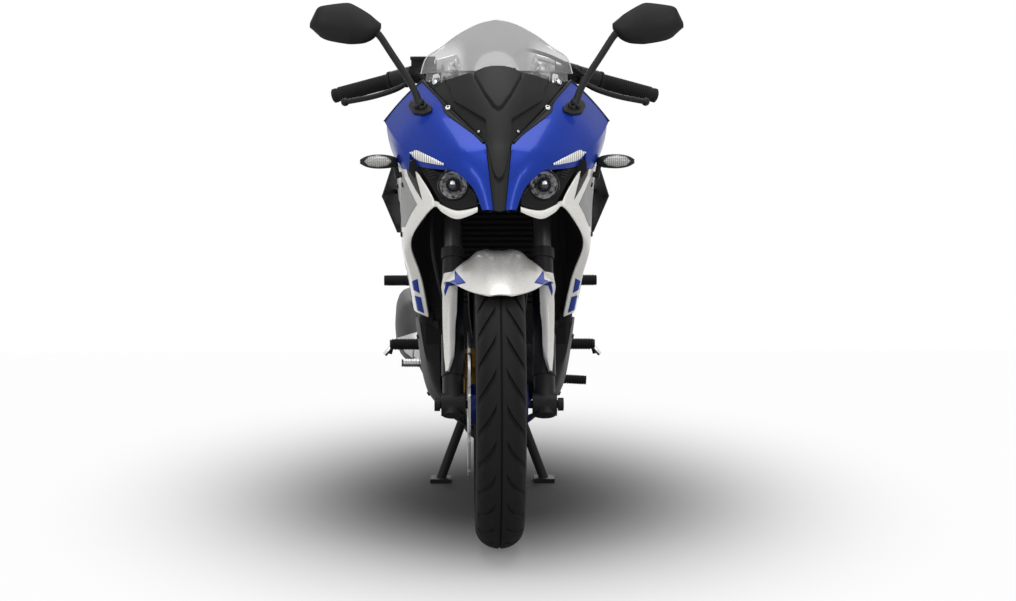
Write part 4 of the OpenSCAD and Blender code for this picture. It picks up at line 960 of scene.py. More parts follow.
class BIKE_OT_panels(bpy.types.Operator):
    """Finishes the moulded panels, tank, tail and other smooth skins"""

    bl_idname = "bike.panels"
    bl_label = "Body panels"

    WORK = (("nose_cowl", "blue_paint"), ("centre_cowl", "black_plastic"), ("windscreen", "smoked_screen"),
            ("lamp_housing", "inner_black"), ("side_fairing", "pearl_paint"),
            ("side_wings", "grey_plastic"), ("belly_pan", "black_plastic"), ("front_guard", "silver_paint"),
            ("rear_hugger", "black_plastic"), ("tank", "blue_paint"), ("tail_cowl", "cover_paint"),
            ("plate_holder", "black_plastic"), ("grab_rails", "frame_paint"), ("mirrors", "black_plastic"),
            ("indicators", "black_plastic"), ("exhaust", "cast_metal"), ("levers", "black_plastic"),
            ("hoses", "soft_rubber"), ("tail_lamp", "red_lens"))
    # Panels with a subdivided skin, and its levels
    SMOOTH = {"nose_cowl": 2, "centre_cowl": 4, "windscreen": 2, "side_fairing": 2, "belly_pan": 2,
              "front_guard": 3, "rear_hugger": 2, "grab_rails": 2, "mirrors": 2, "indicators": 2,
              "hoses": 2, "tank": 2}

    def execute(self, context):
        for node, material in self.WORK:
            if node in self.SMOOTH:
                dressed(node, material, sharp=46, levels=self.SMOOTH[node])
            else:
                dressed(node, material, bevel=0.001)
        return {"FINISHED"}


class BIKE_OT_tyres(bpy.types.Operator):
    """Builds both tyres with their treads"""

    bl_idname = "bike.tyres"
    bl_label = "Tyres"

    def execute(self, context):
        self.tyre("front_tyre", FRONT_AXLE, 0.296, 0.050, 0.044, 0.031, "front_rubber")
        self.tyre("rear_tyre", REAR_AXLE, 0.307, 0.065, 0.050, 0.045, "rear_rubber")
        return {"FINISHED"}

    BEAD_RADIUS = 0.2163

    def tyre(self, node, axle, radius, half, crown, bead, material):
        """A tyre with grooves that run from beside its middle to its shoulders."""
        tread = bpy.context.scene.bike_tyres
        pitch = 2 * math.pi * radius / tread.repeats
        bead_r = self.BEAD_RADIUS
        profile = []
        for k in range(-30, 31):
            a = math.radians(90 - k * 3)
            profile.append((half * math.cos(a), radius - crown + crown * math.sin(a)))
        side = [(bead, bead_r), (bead, bead_r + 0.014), (bead + 0.0045, bead_r + 0.024)]
        profile = [(-x, r) for x, r in side] + profile + [(x, r) for x, r in reversed(side)]
        w = tread.width / pitch / 2
        # Rings of one repeat: place along it and share of the groove's depth
        rows = [(-0.5, 0.0), (-3.6 * w, 0.0), (-1.25 * w, 0.0), (-w, 1.0), (0.0, 1.0), (w, 1.0),
                (1.3 * w, 0.30), (3.4 * w, 0.06), (3.8 * w, 0.0)]
        rows = [row for row in rows if row[0] < 0.5]
        start, end = 0.010 / 0.050 * half, 0.0455 / 0.050 * half
        work = bmesh.new()
        rings = []
        for k in range(tread.repeats):
            for offset, share in rows:
                ring = []
                for x, r in profile:
                    s = abs(x)
                    run = min(max((s - start) / (end - start), 0.0), 1.0)
                    turn = (k + 0.5 + offset) * pitch + tread.drop * run ** 0.85
                    cut = 0.0
                    if start * 0.9 < s < end * 1.02 and r > radius - crown * 0.98:
                        taper = min(1.0, (s - start * 0.9) / 0.006, (end * 1.02 - s) / 0.004)
                        cut = tread.depth * share * taper
                    if s < 0.0022 and r > radius - 0.002:
                        cut = tread.depth * 0.8
                    a = turn / radius
                    out = r - cut
                    spot = axle + Vector((x, -out * math.cos(a), -out * math.sin(a)))
                    ring.append(work.verts.new(spot))
                rings.append(ring)
        for i, ring in enumerate(rings):
            after = rings[(i + 1) % len(rings)]
            for j in range(len(ring) - 1):
                work.faces.new((ring[j], ring[j + 1], after[j + 1], after[j]))
            work.faces.new((ring[-1], ring[0], after[0], after[-1]))
        bmesh.ops.recalc_face_normals(work, faces=work.faces)
        mesh = bpy.data.meshes.new(node + "_tread")
        work.to_mesh(mesh)
        work.free()
        smooth(mesh, 34)
        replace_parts(piece(node + "_tread", mesh, BODY_OF[node], material), node)


class BIKE_OT_lamps(bpy.types.Operator):
    """Builds the projector lamps, the daytime strips and the lenses of the turn lamps"""

    bl_idname = "bike.lamps"
    bl_label = "Lamps"

    PARTS = (("lamp_bezel", "gloss_black",
              ((33, -30), (33, 1), (31.5, 4), (29.5, 4), (28.4, 1), (28, -12), (28, -30))),
             ("lamp_bowl", "reflector",
              ((28, 0), (27, -4), (24, -9), (19.5, -13), (14, -15), (14, -17), (28, -17))),
             ("lamp_ring", "gloss_black",
              ((15.5, -16), (15.5, -4), (14.8, -2), (12.6, -2), (12, -5), (12, -16))),
             ("lamp_eye", "projector_glass",
              ((12.2, -15), (12.2, -6), (11.5, -2.5), (9.5, 0.5), (6.5, 2.6), (3, 3.6), (0, 3.9))),
             ("lamp_cover", "clear_lens",
              ((28.2, -2), (28, 1), (27, 5), (24, 9), (19, 12.4), (12, 14.8), (5, 15.8), (0, 16))))
    # Brow under the nose and the daytime strip on it, as seen in the picture: upper and lower edge
    BROW = (((401, 141), (404, 151.5)), ((406, 146), (410.5, 160)), ((413, 148), (417.5, 166)),
            ((424, 151.5), (430, 168.6)), ((436, 156.5), (440, 169.6)), ((447, 162), (451, 171.2)),
            ((456, 167.5), (461.5, 174.8)), ((464, 174), (469, 181)))
    STRIP = (((408.8, 152.0), (409.6, 153.0)), ((412.5, 150.8), (413.4, 157.2)),
             ((417, 150.4), (418.4, 160.6)), ((424, 153.6), (425.6, 162.4)), ((432, 157.4), (433, 163.8)),
             ((439, 160.9), (439.2, 165.0)), ((443.8, 163.3), (443.6, 165.4)))
    # Face of the lamps: side place and depth
    DEPTH = ((60, -4), (80, 6), (104, 24), (112, 30), (130, 46), (150, 66), (170, 94), (190, 124),
             (215, 160))
    CENTRE = (93, 31, 450)
    # Lens of a turn lamp, as seen in the picture
    TURN = ((364.5, 161.5), (369, 157.4), (378, 155.8), (387, 157.4), (391.5, 161.5), (387, 165.4),
            (378, 166.8), (369, 165.4))

    def execute(self, context):
        front = Vector((0, -1, 0))
        for side in (1, -1):
            tag = tag_of(-side)
            at = mirrored(place(*self.CENTRE), -side)
            for name, material, profile in self.PARTS:
                made = Build().turn(metres(profile), at, front, 40, caps=False)
                obj = made.done(name + tag, "chassis", material, 50)
                if name == "lamp_cover":
                    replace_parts(obj, "headlamps")
            self.band("brow_lip" + tag, self.BROW, side, 3.0, 4, "blue_paint", (0.0, 1.6, 1.8, 0.6, -3.0))
            self.band("day_strip" + tag, self.STRIP, side, 1.0, 7, "lit_lens", (0.4, 3.4, 4.4, 3.4, 0.4),
                      rib=1.0)
        drape("turn_lens", "indicators", self.TURN, 0.0016, "turn_glass", step=2.0)
        for k in range(4):
            rib = ((426.5 + 1.4 * k, 169 + 2.8 * k), (434.5 + 0.7 * k, 167.4 + 2.8 * k),
                   (435.2 + 0.7 * k, 168.7 + 2.8 * k), (427.6 + 1.4 * k, 170.6 + 2.8 * k))
            drape("housing_rib_%d" % k, "lamp_housing", rib, 0.0022, "black_plastic", step=2.0)
        return {"FINISHED"}

    def depth(self, x):
        """Depth of the lamps' face at a side place, in millimetres."""
        for (a, da), (b, db) in zip(self.DEPTH, self.DEPTH[1:]):
            if x <= b:
                return da + (db - da) * max(0.0, (x - a) / (b - a))
        return self.DEPTH[-1][1]

    def band(self, name, edges, side, behind, steps, material, bulge, rib=0.0):
        """A band between two edges seen in the picture, that bulges forward by millimetres across it."""
        tops = curve([sight_at(*a, side, self.depth) for a, _ in edges], steps)
        lows = curve([sight_at(*b, side, self.depth) for _, b in edges], steps)
        back = Vector((0, behind / 1000, 0))
        rings = []
        for k, (top, low) in enumerate(zip(tops, lows)):
            row = []
            for i, b in enumerate(bulge):
                out = b + rib * (k % 3 == 1) * (0 < i < 4)
                row.append(top.lerp(low, i / 4) + back - Vector((0, out / 1000, 0)))
            rings.append(row + [low + back + Vector((0, 0.009, 0)), top + back + Vector((0, 0.007, 0))])
        Build().rings(rings).done(name, "chassis", material, 34)


class BIKE_OT_cowl(bpy.types.Operator):
    """Lays the raised shield, screws, mirror feet and edge trims on the nose"""

    bl_idname = "bike.cowl"
    bl_label = "Nose trims"

    # Outlines as seen in the picture, on the bike's right half
    SHIELD_EDGE = ((443, 76), (445.5, 80), (452, 90.5), (455, 102.8), (470, 111.5), (485.6, 121.6),
                   (486.4, 139.5), (489.6, 155), (493.3, 171.6), (496, 178.6), (499.5, 181.2), (504, 181.2))
    SHIELD = ((530, 181.2), (530, 50), (440, 50), *SHIELD_EDGE)
    DOME_EDGE = ((474.2, 74), (475.8, 79.5), (485.4, 96.6), (495.2, 110.6), (499.3, 112.4), (504, 112.4))
    DOME = ((530, 112.4), (530, 50), (474, 50), *DOME_EDGE)
    TOP_WAS = ((420, 77.5), (432, 75.2), (465.7, 72.9), (499.4, 70.6))
    TOP_NOW = ((420, 79), (433, 80), (441, 81), (450, 80.4), (462, 78.2), (470.4, 76.6), (475.6, 79.8),
               (480, 76.6), (485.6, 73.8), (492, 71.8), (499.4, 70.8))
    FLANGE = ((437, 94), (439, 95), (441.5, 103), (443.5, 111.5), (448.5, 116.5), (466, 129), (485.5, 143),
              (491, 140), (475, 123), (460, 108), (451, 99), (440, 90))
    FOOT = ((409.5, 107.5), (411.5, 102.5), (417, 100), (424, 101.5), (432.5, 108), (432, 112.5),
            (424, 115.6), (413.5, 114))
    WHITE_SCREWS = ((436.2, 83.0),)
    FLANGE_SCREWS = ((448.4, 109.0),)
    DARK_SCREWS = ((479.5, 131.8),)
    # Edge of the screen: side place, depth, height
    SCREEN_EDGE = ((160, 238, 672), (148, 246, 706), (116, 257, 728), (90, 262, 748), (62, 266, 765),
                   (33, 268, 778), (6, 269, 784))
    # Inner edge of the nose: side place, depth, height
    SEAM = ((13, -46, 404), (18, -26, 450), (22, -6, 490), (26, 14, 520), (29, 30, 538), (98, 118, 602),
            (128, 180, 632), (156, 246, 658))

    def execute(self, context):
        trim_top("centre_cowl", self.TOP_WAS, self.TOP_NOW, 14.0)
        emboss("centre_cowl", ((0.0080, 1.6, self.SHIELD), (0.0062, 2.2, self.DOME)),
               ((0.0046, 1.7, self.SHIELD_EDGE), (0.0046, 1.8, self.DOME_EDGE)))
        drape("cowl_flange", "nose_cowl", self.FLANGE, 0.0014, "black_plastic", step=2.0)
        drape("mirror_foot", "nose_cowl", self.FOOT, 0.0055, "black_plastic", step=3.0, edge=0.0018)
        for name, node, spots, material, radius in (
                ("cowl_screws", "centre_cowl", self.WHITE_SCREWS, "bright_steel", 0.0066),
                ("flange_screws", "nose_cowl", self.FLANGE_SCREWS, "bright_steel", 0.0066),
                ("cowl_pins", "centre_cowl", self.DARK_SCREWS, "satin_steel", 0.0032),
                ("foot_screws", "nose_cowl", ((425, 108.6),), "gloss_black", 0.0085)):
            made = Build()
            for side in (1, -1):
                for spot in spots:
                    at, normal = on_skin(node, sight, *spot, side)
                    made.screw(at + normal * (0.006 if name == "foot_screws" else 0.0022), normal, radius)
            made.done(name, "chassis", material, 40)
        edge = [place(*p) for p in self.SCREEN_EDGE]
        edge += [place(-p[0], p[1], p[2]) for p in reversed(self.SCREEN_EDGE)]
        Build().tube(curve(edge, 5), 0.0013, 8).done("screen_bead", "chassis", "bead_clear", 60)
        made = Build()
        for side in (1, -1):
            side_edge = []
            for k in range(9):
                rise = math.sin(math.pi * k / 8)
                side_edge.append(place(side * (156 + 82 * k / 8), 246 - 11 * k / 8 - 4 * rise,
                                       658 - 87 * k / 8 + 5 * rise))
            made.tube(side_edge, 0.0024, 8)
            inner = curve([Vector(p) for p in self.SEAM[4:]], 8)
            made.tube([place(side * (p.x + 1.5), p.y - 1.5, p.z - 1.0) for p in inner], 0.0030, 8)
        made.done("nose_edge", "chassis", "black_plastic", 60)
        self.seals()
        return {"FINISHED"}

    def seals(self):
        """Closes the joints between the nose, the cowl and the screen; the near-black seals paint the shade in the
        nose's joints.
        """
        for side in (1, -1):
            rings = []
            for p in curve([Vector(p) for p in self.SEAM], 6):
                rings.append([place(side * (p.x + dx), p.y + dd, p.z + dh) for dx, dd, dh in (
                    (-8, 5, 2), (7, 6, -6), (7, 8, -6), (-8, 7.5, 2))])
            Build().rings(rings).done("nose_seal" + tag_of(side), "chassis", "inner_black", 40)
        low = self.border("windscreen", -1)
        rings = [[p + Vector((0, dy, dz))
                  for dy, dz in ((-0.0004, 0.004), (-0.0052, -0.016), (-0.0032, -0.016), (0.0022, 0.004))]
                 for p in low]
        Build().rings(rings).done("screen_foot", "chassis", "smoked_screen", 50)

    def border(self, node, way):
        """The highest or lowest line of a skin across the bike, as even places."""
        made = SKINS[node].evaluated_get(bpy.context.evaluated_depsgraph_get())
        places = [v.co for v in made.data.vertices]
        line = []
        for k in range(-18, 19):
            x = 0.0083 * k
            near = [p for p in places if abs(p.x - x) < 0.006]
            top = max(near, key=lambda p: p.z * way)
            line.append(Vector((x, top.y, top.z)))
        return line


class BIKE_OT_fins(bpy.types.Operator):
    """Lays the decals and inserts on the fins and mudguard, and lines the fairing"""

    bl_idname = "bike.fins"
    bl_label = "Fins and linings"

    # Outlines as seen in the picture, on the bike's right half
    DECALS = (("fin_block_upper", "side_fairing",
               ((411.9, 281.3), (417.5, 278.7), (419.8, 293.1), (413.4, 289.7)), "decal_blue"),
              ("fin_block_lower", "side_fairing",
               ((414.5, 295.5), (421, 297.4), (424.2, 313), (417.2, 310)), "decal_blue"),
              ("fin_insert", "side_fairing",
               ((404.5, 160), (413.5, 160), (416.5, 178), (422, 199.5), (416, 190), (408.5, 176)),
               "gloss_black"))
    GUARD_BLAZE = ((444.3, 291.3), (445.9, 282.8), (455, 279.8), (455, 270.6), (465.8, 282.8),
                   (456.6, 285.1), (448.9, 285.9), (445.1, 295.9))
    FIN_INNER = ((401, 175), (403.2, 175), (410, 190), (417, 204.5), (411, 214), (405, 227), (401.5, 227))
    GUARD_RIDGE = ((474, 250), (488, 250), (489, 259), (474, 259))
    HEAT_SHIELD = ((398, 338), (420, 331.5), (426, 353), (419, 363), (406, 352))
    # First gill, and how far it is to the next: depth and height
    GILL = ((296, 396), (322, 396), (300, 330), (274, 330))
    GILL_PITCH = 42
    # Lining of the fairing: front edge, rear edge and return to the panel, as side place, depth, height
    LINING = (((172, 102, 476), (152, 338, 470), (204, 344, 468)),
              ((136, 44, 416), (151, 338, 408), (202, 350, 406)),
              ((150, 74, 390), (150, 338, 380), (197, 356, 374)),
              ((181, 198, 318), (152, 338, 312), (189, 352, 306)),
              ((160, 258, 240), (150, 338, 236), (178, 352, 230)),
              ((144, 327, 146), (142, 345, 150), (164, 356, 150)),
              ((122, 386, 30), (120, 400, 34), (140, 410, 36)))

    # Stripes on the sides: depth and height
    STRIPES = (("upper_stripe", ((404, 240), (418, 262), (470, 266), (560, 250), (500, 241))),
               ("lower_stripe", ((440, 172), (404, 220), (480, 230), (566, 212), (574, 170), (510, 180))))
    # Blades of the mudguard in the picture: height, outer and inner edge of the solid, then of the blade
    BLADE = ((283, 441, 457, 441.5, 457), (290, 440, 457, 442.6, 456.8), (310, 438.8, 457, 442.4, 456.3),
             (330, 439.5, 455.5, 443, 455.8), (345, 441, 453, 443.8, 455.2),
             (356, 443, 450.6, 444.6, 453.6), (365, 444.5, 449, 445.4, 450.6),
             (374, 446.2, 447.4, 446.2, 447.4))
    # Plate behind a lamp, as seen in the picture; near black, it paints the shade seen through the gaps round the
    # lamp
    BACK = ((409, 171), (409.5, 161), (413, 160), (420, 158), (434, 159), (452, 165), (468, 171),
            (479, 182), (481, 203), (460, 206), (438, 204), (430, 203), (420, 186))
    # Cheek between nose and fairing, upper and lower edge: side place, depth, height
    CHEEK = (((181, 111, 517), (210, 156, 535), (234, 236, 572)),
             ((175, 106, 478), (197, 142, 476), (208, 240, 474)))
    # Lower edge of the fairing: side place, depth, height
    JOINT = ((142, 330, 144), (165, 337, 150), (171, 400, 147), (173, 500, 143), (172, 584, 139))
    # Gasket between tank and seat: side place and height
    GASKET = ((-66, 472), (-58, 462), (58, 462), (66, 472), (66, 500), (50, 512), (-50, 512), (-66, 500))

    def execute(self, context):
        for name, node, outline, material in self.DECALS:
            drape(name, node, outline, 0.0009, material, step=1.2)
        drape("fin_inner", "side_fairing", self.FIN_INNER, 0.0008, "light_plastic", step=1.5)
        # The gills are near-black plates on the fairing that paint the shade inside the vents.
        for k in range(3):
            gill = [(a + self.GILL_PITCH * k, b) for a, b in self.GILL]
            drape("gill_%d" % k, "side_fairing", gill, 0.0012, "inner_black", line=from_side, step=9.0)
        for name, outline in self.STRIPES:
            drape(name, "side_fairing", outline, 0.0008, "decal_blue", line=from_side, step=9.0)
        drape("heat_shield", "exhaust", self.HEAT_SHIELD, 0.0026, "shield_steel", step=2.0, sides=(1,))
        reshape("front_guard", self.BLADE, 0.078, 0.535)
        emboss("front_guard", ((0.0075, 7.0, self.GUARD_RIDGE),))
        drape("guard_blaze", "front_guard", self.GUARD_BLAZE, 0.0009, "decal_blue", step=1.2)
        # The near-black lining inside the fairing paints the shade seen through its gaps.
        fronts, backs, ends = (curve([Vector(row[k]) for row in self.LINING], 4) for k in range(3))
        for side in (1, -1):
            rows = []
            for a, b, c in zip(fronts, backs, ends):
                row = [a.lerp(b, k / 6) for k in range(7)] + [b.lerp(c, 0.5), c]
                rows.append([place(side * p.x, p.y, p.z) for p in row])
            made = Build().rings(rows, closed=False)
            obj = made.done("fairing_lining" + tag_of(side), "chassis", "inner_black", 60)
            wall = obj.modifiers.new("wall", "SOLIDIFY")
            wall.thickness, wall.offset = 0.002, 0
        self.fillers()
        gasket = Build().rings([[place(x, d, h) for x, h in self.GASKET] for d in (788, 799, 812)])
        gasket.done("tank_gasket", "chassis", "soft_rubber", 40, 0.002)
        return {"FINISHED"}

    # Upright fillers: name, outline across the bike as side place and depth, heights
    SHROUDS = (("core_shroud", ((139.6, 339), (153, 339), (153, 345), (139.6, 345)), (146, 220, 300, 388)),
               ("belly_lip", ((40, 345), (114, 339), (153, 339), (153, 343), (114, 343), (40, 349)),
                (84, 112, 140, 166)))

    def fillers(self):
        """Closes the slits beside the radiator and under the fins; the near-black pieces among them paint the
        shade in the slits.
        """
        tops, lows = (curve([Vector(p) for p in edge], 6) for edge in self.CHEEK)
        for side in (1, -1):
            tag = tag_of(side)
            for name, outline, heights in self.SHROUDS:
                made = Build().rings([[place(side * x, d, h) for x, d in outline] for h in heights])
                made.done(name + tag, "chassis", "inner_black", 40, 0.0008)
            lip = ((121, 404), (137, 406), (137, 418), (121, 414))
            made = Build().rings([[place(side * x, d, h) for x, h in lip] for d in (39, 42, 48)])
            made.done("lip_joint" + tag, "chassis", "pearl_paint", 40, 0.0012)
            made = Build().rings([[sight_at(a, b, -side, lambda x: d) for a, b in self.BACK]
                                  for d in (97, 99, 101)])
            made.done("lamp_back" + tag, "chassis", "inner_black", 40)
            rings = []
            for a, b in zip(tops, lows):
                row = [a.lerp(b, k / 5) + Vector((6 * math.sin(math.pi * k / 5), 0, 0)) for k in range(6)]
                inside = [place(side * (p.x - 2.6), p.y + 1, p.z) for p in reversed(row)]
                rings.append([place(side * p.x, p.y, p.z) for p in row] + inside)
            Build().rings(rings).done("nose_cheek" + tag, "chassis", "blue_paint", 40)
            section = ((-2.6, 12), (-2.6, -18), (-5, -18), (-5, 12))
            made = Build().rings([[place(side * (p.x + dx), p.y, p.z + dh) for dx, dh in section]
                                  for p in curve([Vector(p) for p in self.JOINT], 5)])
            made.done("fin_joint" + tag, "chassis", "inner_black", 40)


class BIKE_OT_hands(bpy.types.Operator):
    """Builds the ribbed grips, peg rubbers and pedal rubbers"""

    bl_idname = "bike.hands"
    bl_label = "Grips and rubbers"

    # Rubber sleeves: start, end, radius, ribs, finish
    SLEEVES = (
        ("peg_rubber", ((170, 781.5, 30), (233, 780, 30)), 13.0, 9, "soft_rubber"),
        ("pillion_rubber", ((196, 1050, 152), (255, 1050, 152)), 13.0, 9, "soft_rubber"),
        ("peg_feeler", ((233, 780, 25), (250, 780, 6)), 5.6, 0, "bright_steel"))
    PEDAL = (("gear_rubber", ((158, 640, -32.9), (211, 640, -36.1)), 10.6, 8, "soft_rubber"),
             ("brake_pad", ((-168, 690, -2), (-210, 690, -2)), 9.4, 6, "satin_steel"))
    # Inner and outer end of the left bar: side place, depth, height
    BAR = ((82, 345, 692), (343, 437, 620))
    # Turned ends of the bars: finish, then radius and distance. The near-black bore disc paints the shade in the
    # hollow bar.
    BAR_ENDS = (("bar_mouth", "bright_steel",
                 ((11.3, 9), (11.6, 1), (11.2, -1), (8.6, -1), (8.2, 3), (8.2, 9))),
                ("bar_bore", "inner_black", ((8.4, 2.4), (8.4, 2.8), (0, 2.8), (0, 2.4))))

    def execute(self, context):
        ease("hoses", place(190, 333, 664), Vector((0.001, 0.006, 0.0)), 0.06)
        start, end = (place(*p) for p in self.BAR)
        way = (end - start).normalized()
        outer = start + (end - start) * ((339 - 82) / 261)
        profile = [(11.2, 0), (20.5, 0), (20.5, 5), (17, 7)]
        for k in range(21):
            t = 9 + k * 5.2
            profile += [(16.5, t), (16.5, t + 3.4), (15.3, t + 3.8), (15.3, t + 4.8)]
        profile += [(16.5, 119), (16.5, 125), (14.5, 126.5), (14.5, 131), (15.6, 131.6), (15.6, 139),
                    (13.5, 140.4), (0, 140.4)]
        for side in (1, -1):
            tag = tag_of(side)
            at, into = mirrored(outer - way * 0.126, side), mirrored(way, side)
            made = Build().turn(metres(profile), at, into, 32)
            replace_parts(made.done("grip" + tag, "steering", "soft_rubber", 32), "grips")
            for name, material, rim in self.BAR_ENDS:
                made = Build().turn(metres(rim), mirrored(start, side), into, 28, caps=False)
                made.done(name + tag, "steering", material, 40)
            for name, ends, radius, ribs, material in self.SLEEVES:
                self.sleeve(name + tag, ends, radius, ribs, material, side)
        for name, ends, radius, ribs, material in self.PEDAL:
            self.sleeve(name, ends, radius, ribs, material, 1)
        return {"FINISHED"}

    def sleeve(self, name, ends, radius, ribs, material, side):
        """A round sleeve between two ends, with ribs."""
        a, b = (place(p[0] * side, p[1], p[2]) for p in ends)
        length = (b - a).length
        r = radius / 1000
        profile = [(0, 0), (r * 0.9, 0), (r, 0.0012)]
        for k in range(ribs):
            t = 0.004 + (length - 0.008) * k / ribs
            pitch = (length - 0.008) / ribs
            profile += [(r, t), (r, t + pitch * 0.6), (r - 0.0014, t + pitch * 0.7),
                        (r - 0.0014, t + pitch * 0.92)]
        profile += [(r, length - 0.0012), (r * 0.9, length), (0, length)]
        Build().turn(profile, a, b - a, 24, caps=False).done(name, "chassis", material, 32)


class BIKE_OT_chain(bpy.types.Operator):
    """Builds the drive chain link by link, with its front sprocket"""

    bl_idname = "bike.chain"
    bl_label = "Drive chain"

    PITCH = 0.0127
    SIDE = 0.084
    TEETH = (14, 42)

    def run(self):
        """Even pins round both sprockets, as depth and height."""
        a, b = place(0, 770, 104), REAR_AXLE
        ra, rb = (self.PITCH / 2 / math.sin(math.pi / n) for n in self.TEETH)
        tilt = math.atan2(b.z - a.z, b.y - a.y)
        lean = math.asin((rb - ra) / math.hypot(b.z - a.z, b.y - a.y))
        path = []
        arcs = ((b, rb, -math.pi / 2 - lean, math.pi + 2 * lean),
                (a, ra, math.pi / 2 + lean, math.pi - 2 * lean))
        for centre, radius, start, sweep in arcs:
            path += [Vector((0, centre.y + radius * math.cos(start + tilt + sweep * k / 90),
                             centre.z + radius * math.sin(start + tilt + sweep * k / 90)))
                     for k in range(91)]
        path.append(path[0])
        total = sum((q - p).length for p, q in zip(path, path[1:]))
        count = round(total / self.PITCH / 2) * 2
        pins, walked, k = [], 0.0, 0
        for p, q in zip(path, path[1:]):
            step = (q - p).length
            while k < count and walked + step >= k * total / count - 1e-9:
                pins.append(p.lerp(q, min(max((k * total / count - walked) / step, 0), 1)))
                k += 1
            walked += step
        return pins

    def execute(self, context):
        pins = self.run()
        made = Build()
        across = Vector((1, 0, 0))
        for k, pin in enumerate(pins):
            after = pins[(k + 1) % len(pins)]
            way = (after - pin).normalized()
            up = across.cross(way)
            out = 0.0066 if k % 2 else 0.0045
            half = (after - pin).length / 2
            for side in (1, -1):
                x = self.SIDE + side * out
                mid = (pin + after) / 2
                shape = [(half + 4.6e-3 * math.cos(q), 4.6e-3 * math.sin(q))
                         for q in (-1.3, -0.8, -0.27, 0.27, 0.8, 1.3)]
                shape += [(0.0, 3.3e-3)] + [(-p, r) for p, r in reversed(shape)] + [(0.0, -3.3e-3)]
                face = [mid + way * p + up * r for p, r in shape]
                made.rings([[Vector((x + dx, p.y, p.z)) for p in face] for dx in (-0.0009, 0.0009)])
            made.turn([(0.0040, -0.0085), (0.0040, 0.0085)], Vector((self.SIDE, pin.y, pin.z)), across, 8)
        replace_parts(made.done("chain_links", "chassis", "chain_steel", 30), "chain")
        centre = place(84, 770, 104)
        ra = self.PITCH / 2 / math.sin(math.pi / self.TEETH[0])
        ring = []
        for k in range(self.TEETH[0]):
            root, tip = ra - 0.0045, ra - 0.001
            for share, radius in ((0.0, root), (0.25, root), (0.45, tip), (0.55, tip), (0.75, root)):
                q = 2 * math.pi * (k + share) / self.TEETH[0]
                ring.append(Vector((0, math.cos(q) * radius, math.sin(q) * radius)))
        made = Build().rings([[centre + Vector((dx, 0, 0)) + p for p in ring] for dx in (-0.003, 0.003)])
        made.turn([(0.014, -0.0215), (0.014, 0.006), (0.011, 0.008), (0, 0.008)], centre, across, 24)
        made.done("front_sprocket", "chassis", "satin_steel", 30, 0.0005)
        return {"FINISHED"}


class BIKE_OT_seats(bpy.types.Operator):
    """Swells the seats as padded leather and sews their seams"""

    bl_idname = "bike.seats"
    bl_label = "Seats"

    voxel: bpy.props.FloatProperty(name="Mesh size", description="Size of the cover's mesh", unit="LENGTH",
                                   default=0.0065)
    swell: bpy.props.FloatProperty(name="Most swell", description="How far a point of the cover may move",
                                   unit="LENGTH", default=0.006)
    # Seam lines: depth, share of the width, top, base line at the front and its slope
    SEAMS = (("rider_seam",
              ((806, .53, 520), (850, .80, 516), (920, 1.0, 514), (1000, .98, 520), (1052, .84, 540),
               (1062, .77, 543)), 800, 448, 0.12),
             ("pillion_seam",
              ((1074, .70, 567), (1090, .76, 578), (1180, .74, 588), (1290, .58, 590), (1338, .41, 584)),
              1070, 500, 0.184))

    def execute(self, context):
        scene = context.scene
        mesh = frame["nodes"]["seats"].data.copy()
        obj = piece("seat_pads", mesh, "chassis", "seat_leather")
        remesh = obj.modifiers.new("cover", "REMESH")
        remesh.mode, remesh.voxel_size, remesh.use_smooth_shade = "VOXEL", self.voxel, True
        self.settle(obj)
        start = [v.co.copy() for v in obj.data.vertices]
        down = [v.normal.z < -0.75 for v in obj.data.vertices]
        for vert, under in zip(obj.data.vertices, down):
            if not under:
                vert.co -= vert.normal * 0.003
        cloth = obj.modifiers.new("swell", "CLOTH")
        cloth.settings.use_pressure = True
        cloth.settings.uniform_pressure_force = 4.0
        cloth.settings.effector_weights.gravity = 0.0
        cloth.collision_settings.use_self_collision = False
        for k in range(1, 21):
            scene.frame_set(k)
        self.settle(obj)
        scene.frame_set(1)
        for vert, home, under in zip(obj.data.vertices, start, down):
            move = vert.co - home
            if under:
                vert.co = home
            elif move.length > self.swell:
                vert.co = home + move.normalized() * self.swell
        obj.data.shade_smooth()
        soft = obj.modifiers.new("soft", "SMOOTH")
        soft.iterations, soft.factor = 3, 0.5
        self.settle(obj)
        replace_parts(obj, "seats")
        SKINS["seats"] = obj
        self.sew()
        return {"FINISHED"}

    def settle(self, obj):
        """Keeps what the modifiers made as the object's mesh."""
        made = made_mesh(obj)
        obj.modifiers.clear()
        made.materials.clear()
        made.materials.append(finish("seat_leather"))
        obj.data = made

    # Half the seat's width in millimetres, and the seam's share of the width and of the height
    HALF, SEAM_WIDE, SEAM_HIGH = 145, 0.94, 0.78

    def sew(self):
        """Lays a thread along each side of both seats."""
        for name, rows, first, base, slope in self.SEAMS:
            made = Build()
            for side in (1, -1):
                line = []
                for d, share, top in rows:
                    low = base + (d - first) * slope
                    x = side * self.HALF * share * self.SEAM_WIDE
                    line.append(place(x, d, low + (top - low) * self.SEAM_HIGH))
                laid = []
                for p in curve(line, 8):
                    hit, normal, _, _ = skin_tree("seats").find_nearest(p)
                    laid.append(hit + normal * 0.0006)
                made.tube(laid, 0.0017, 8)
            made.done(name, "chassis", "seam_thread", 60)


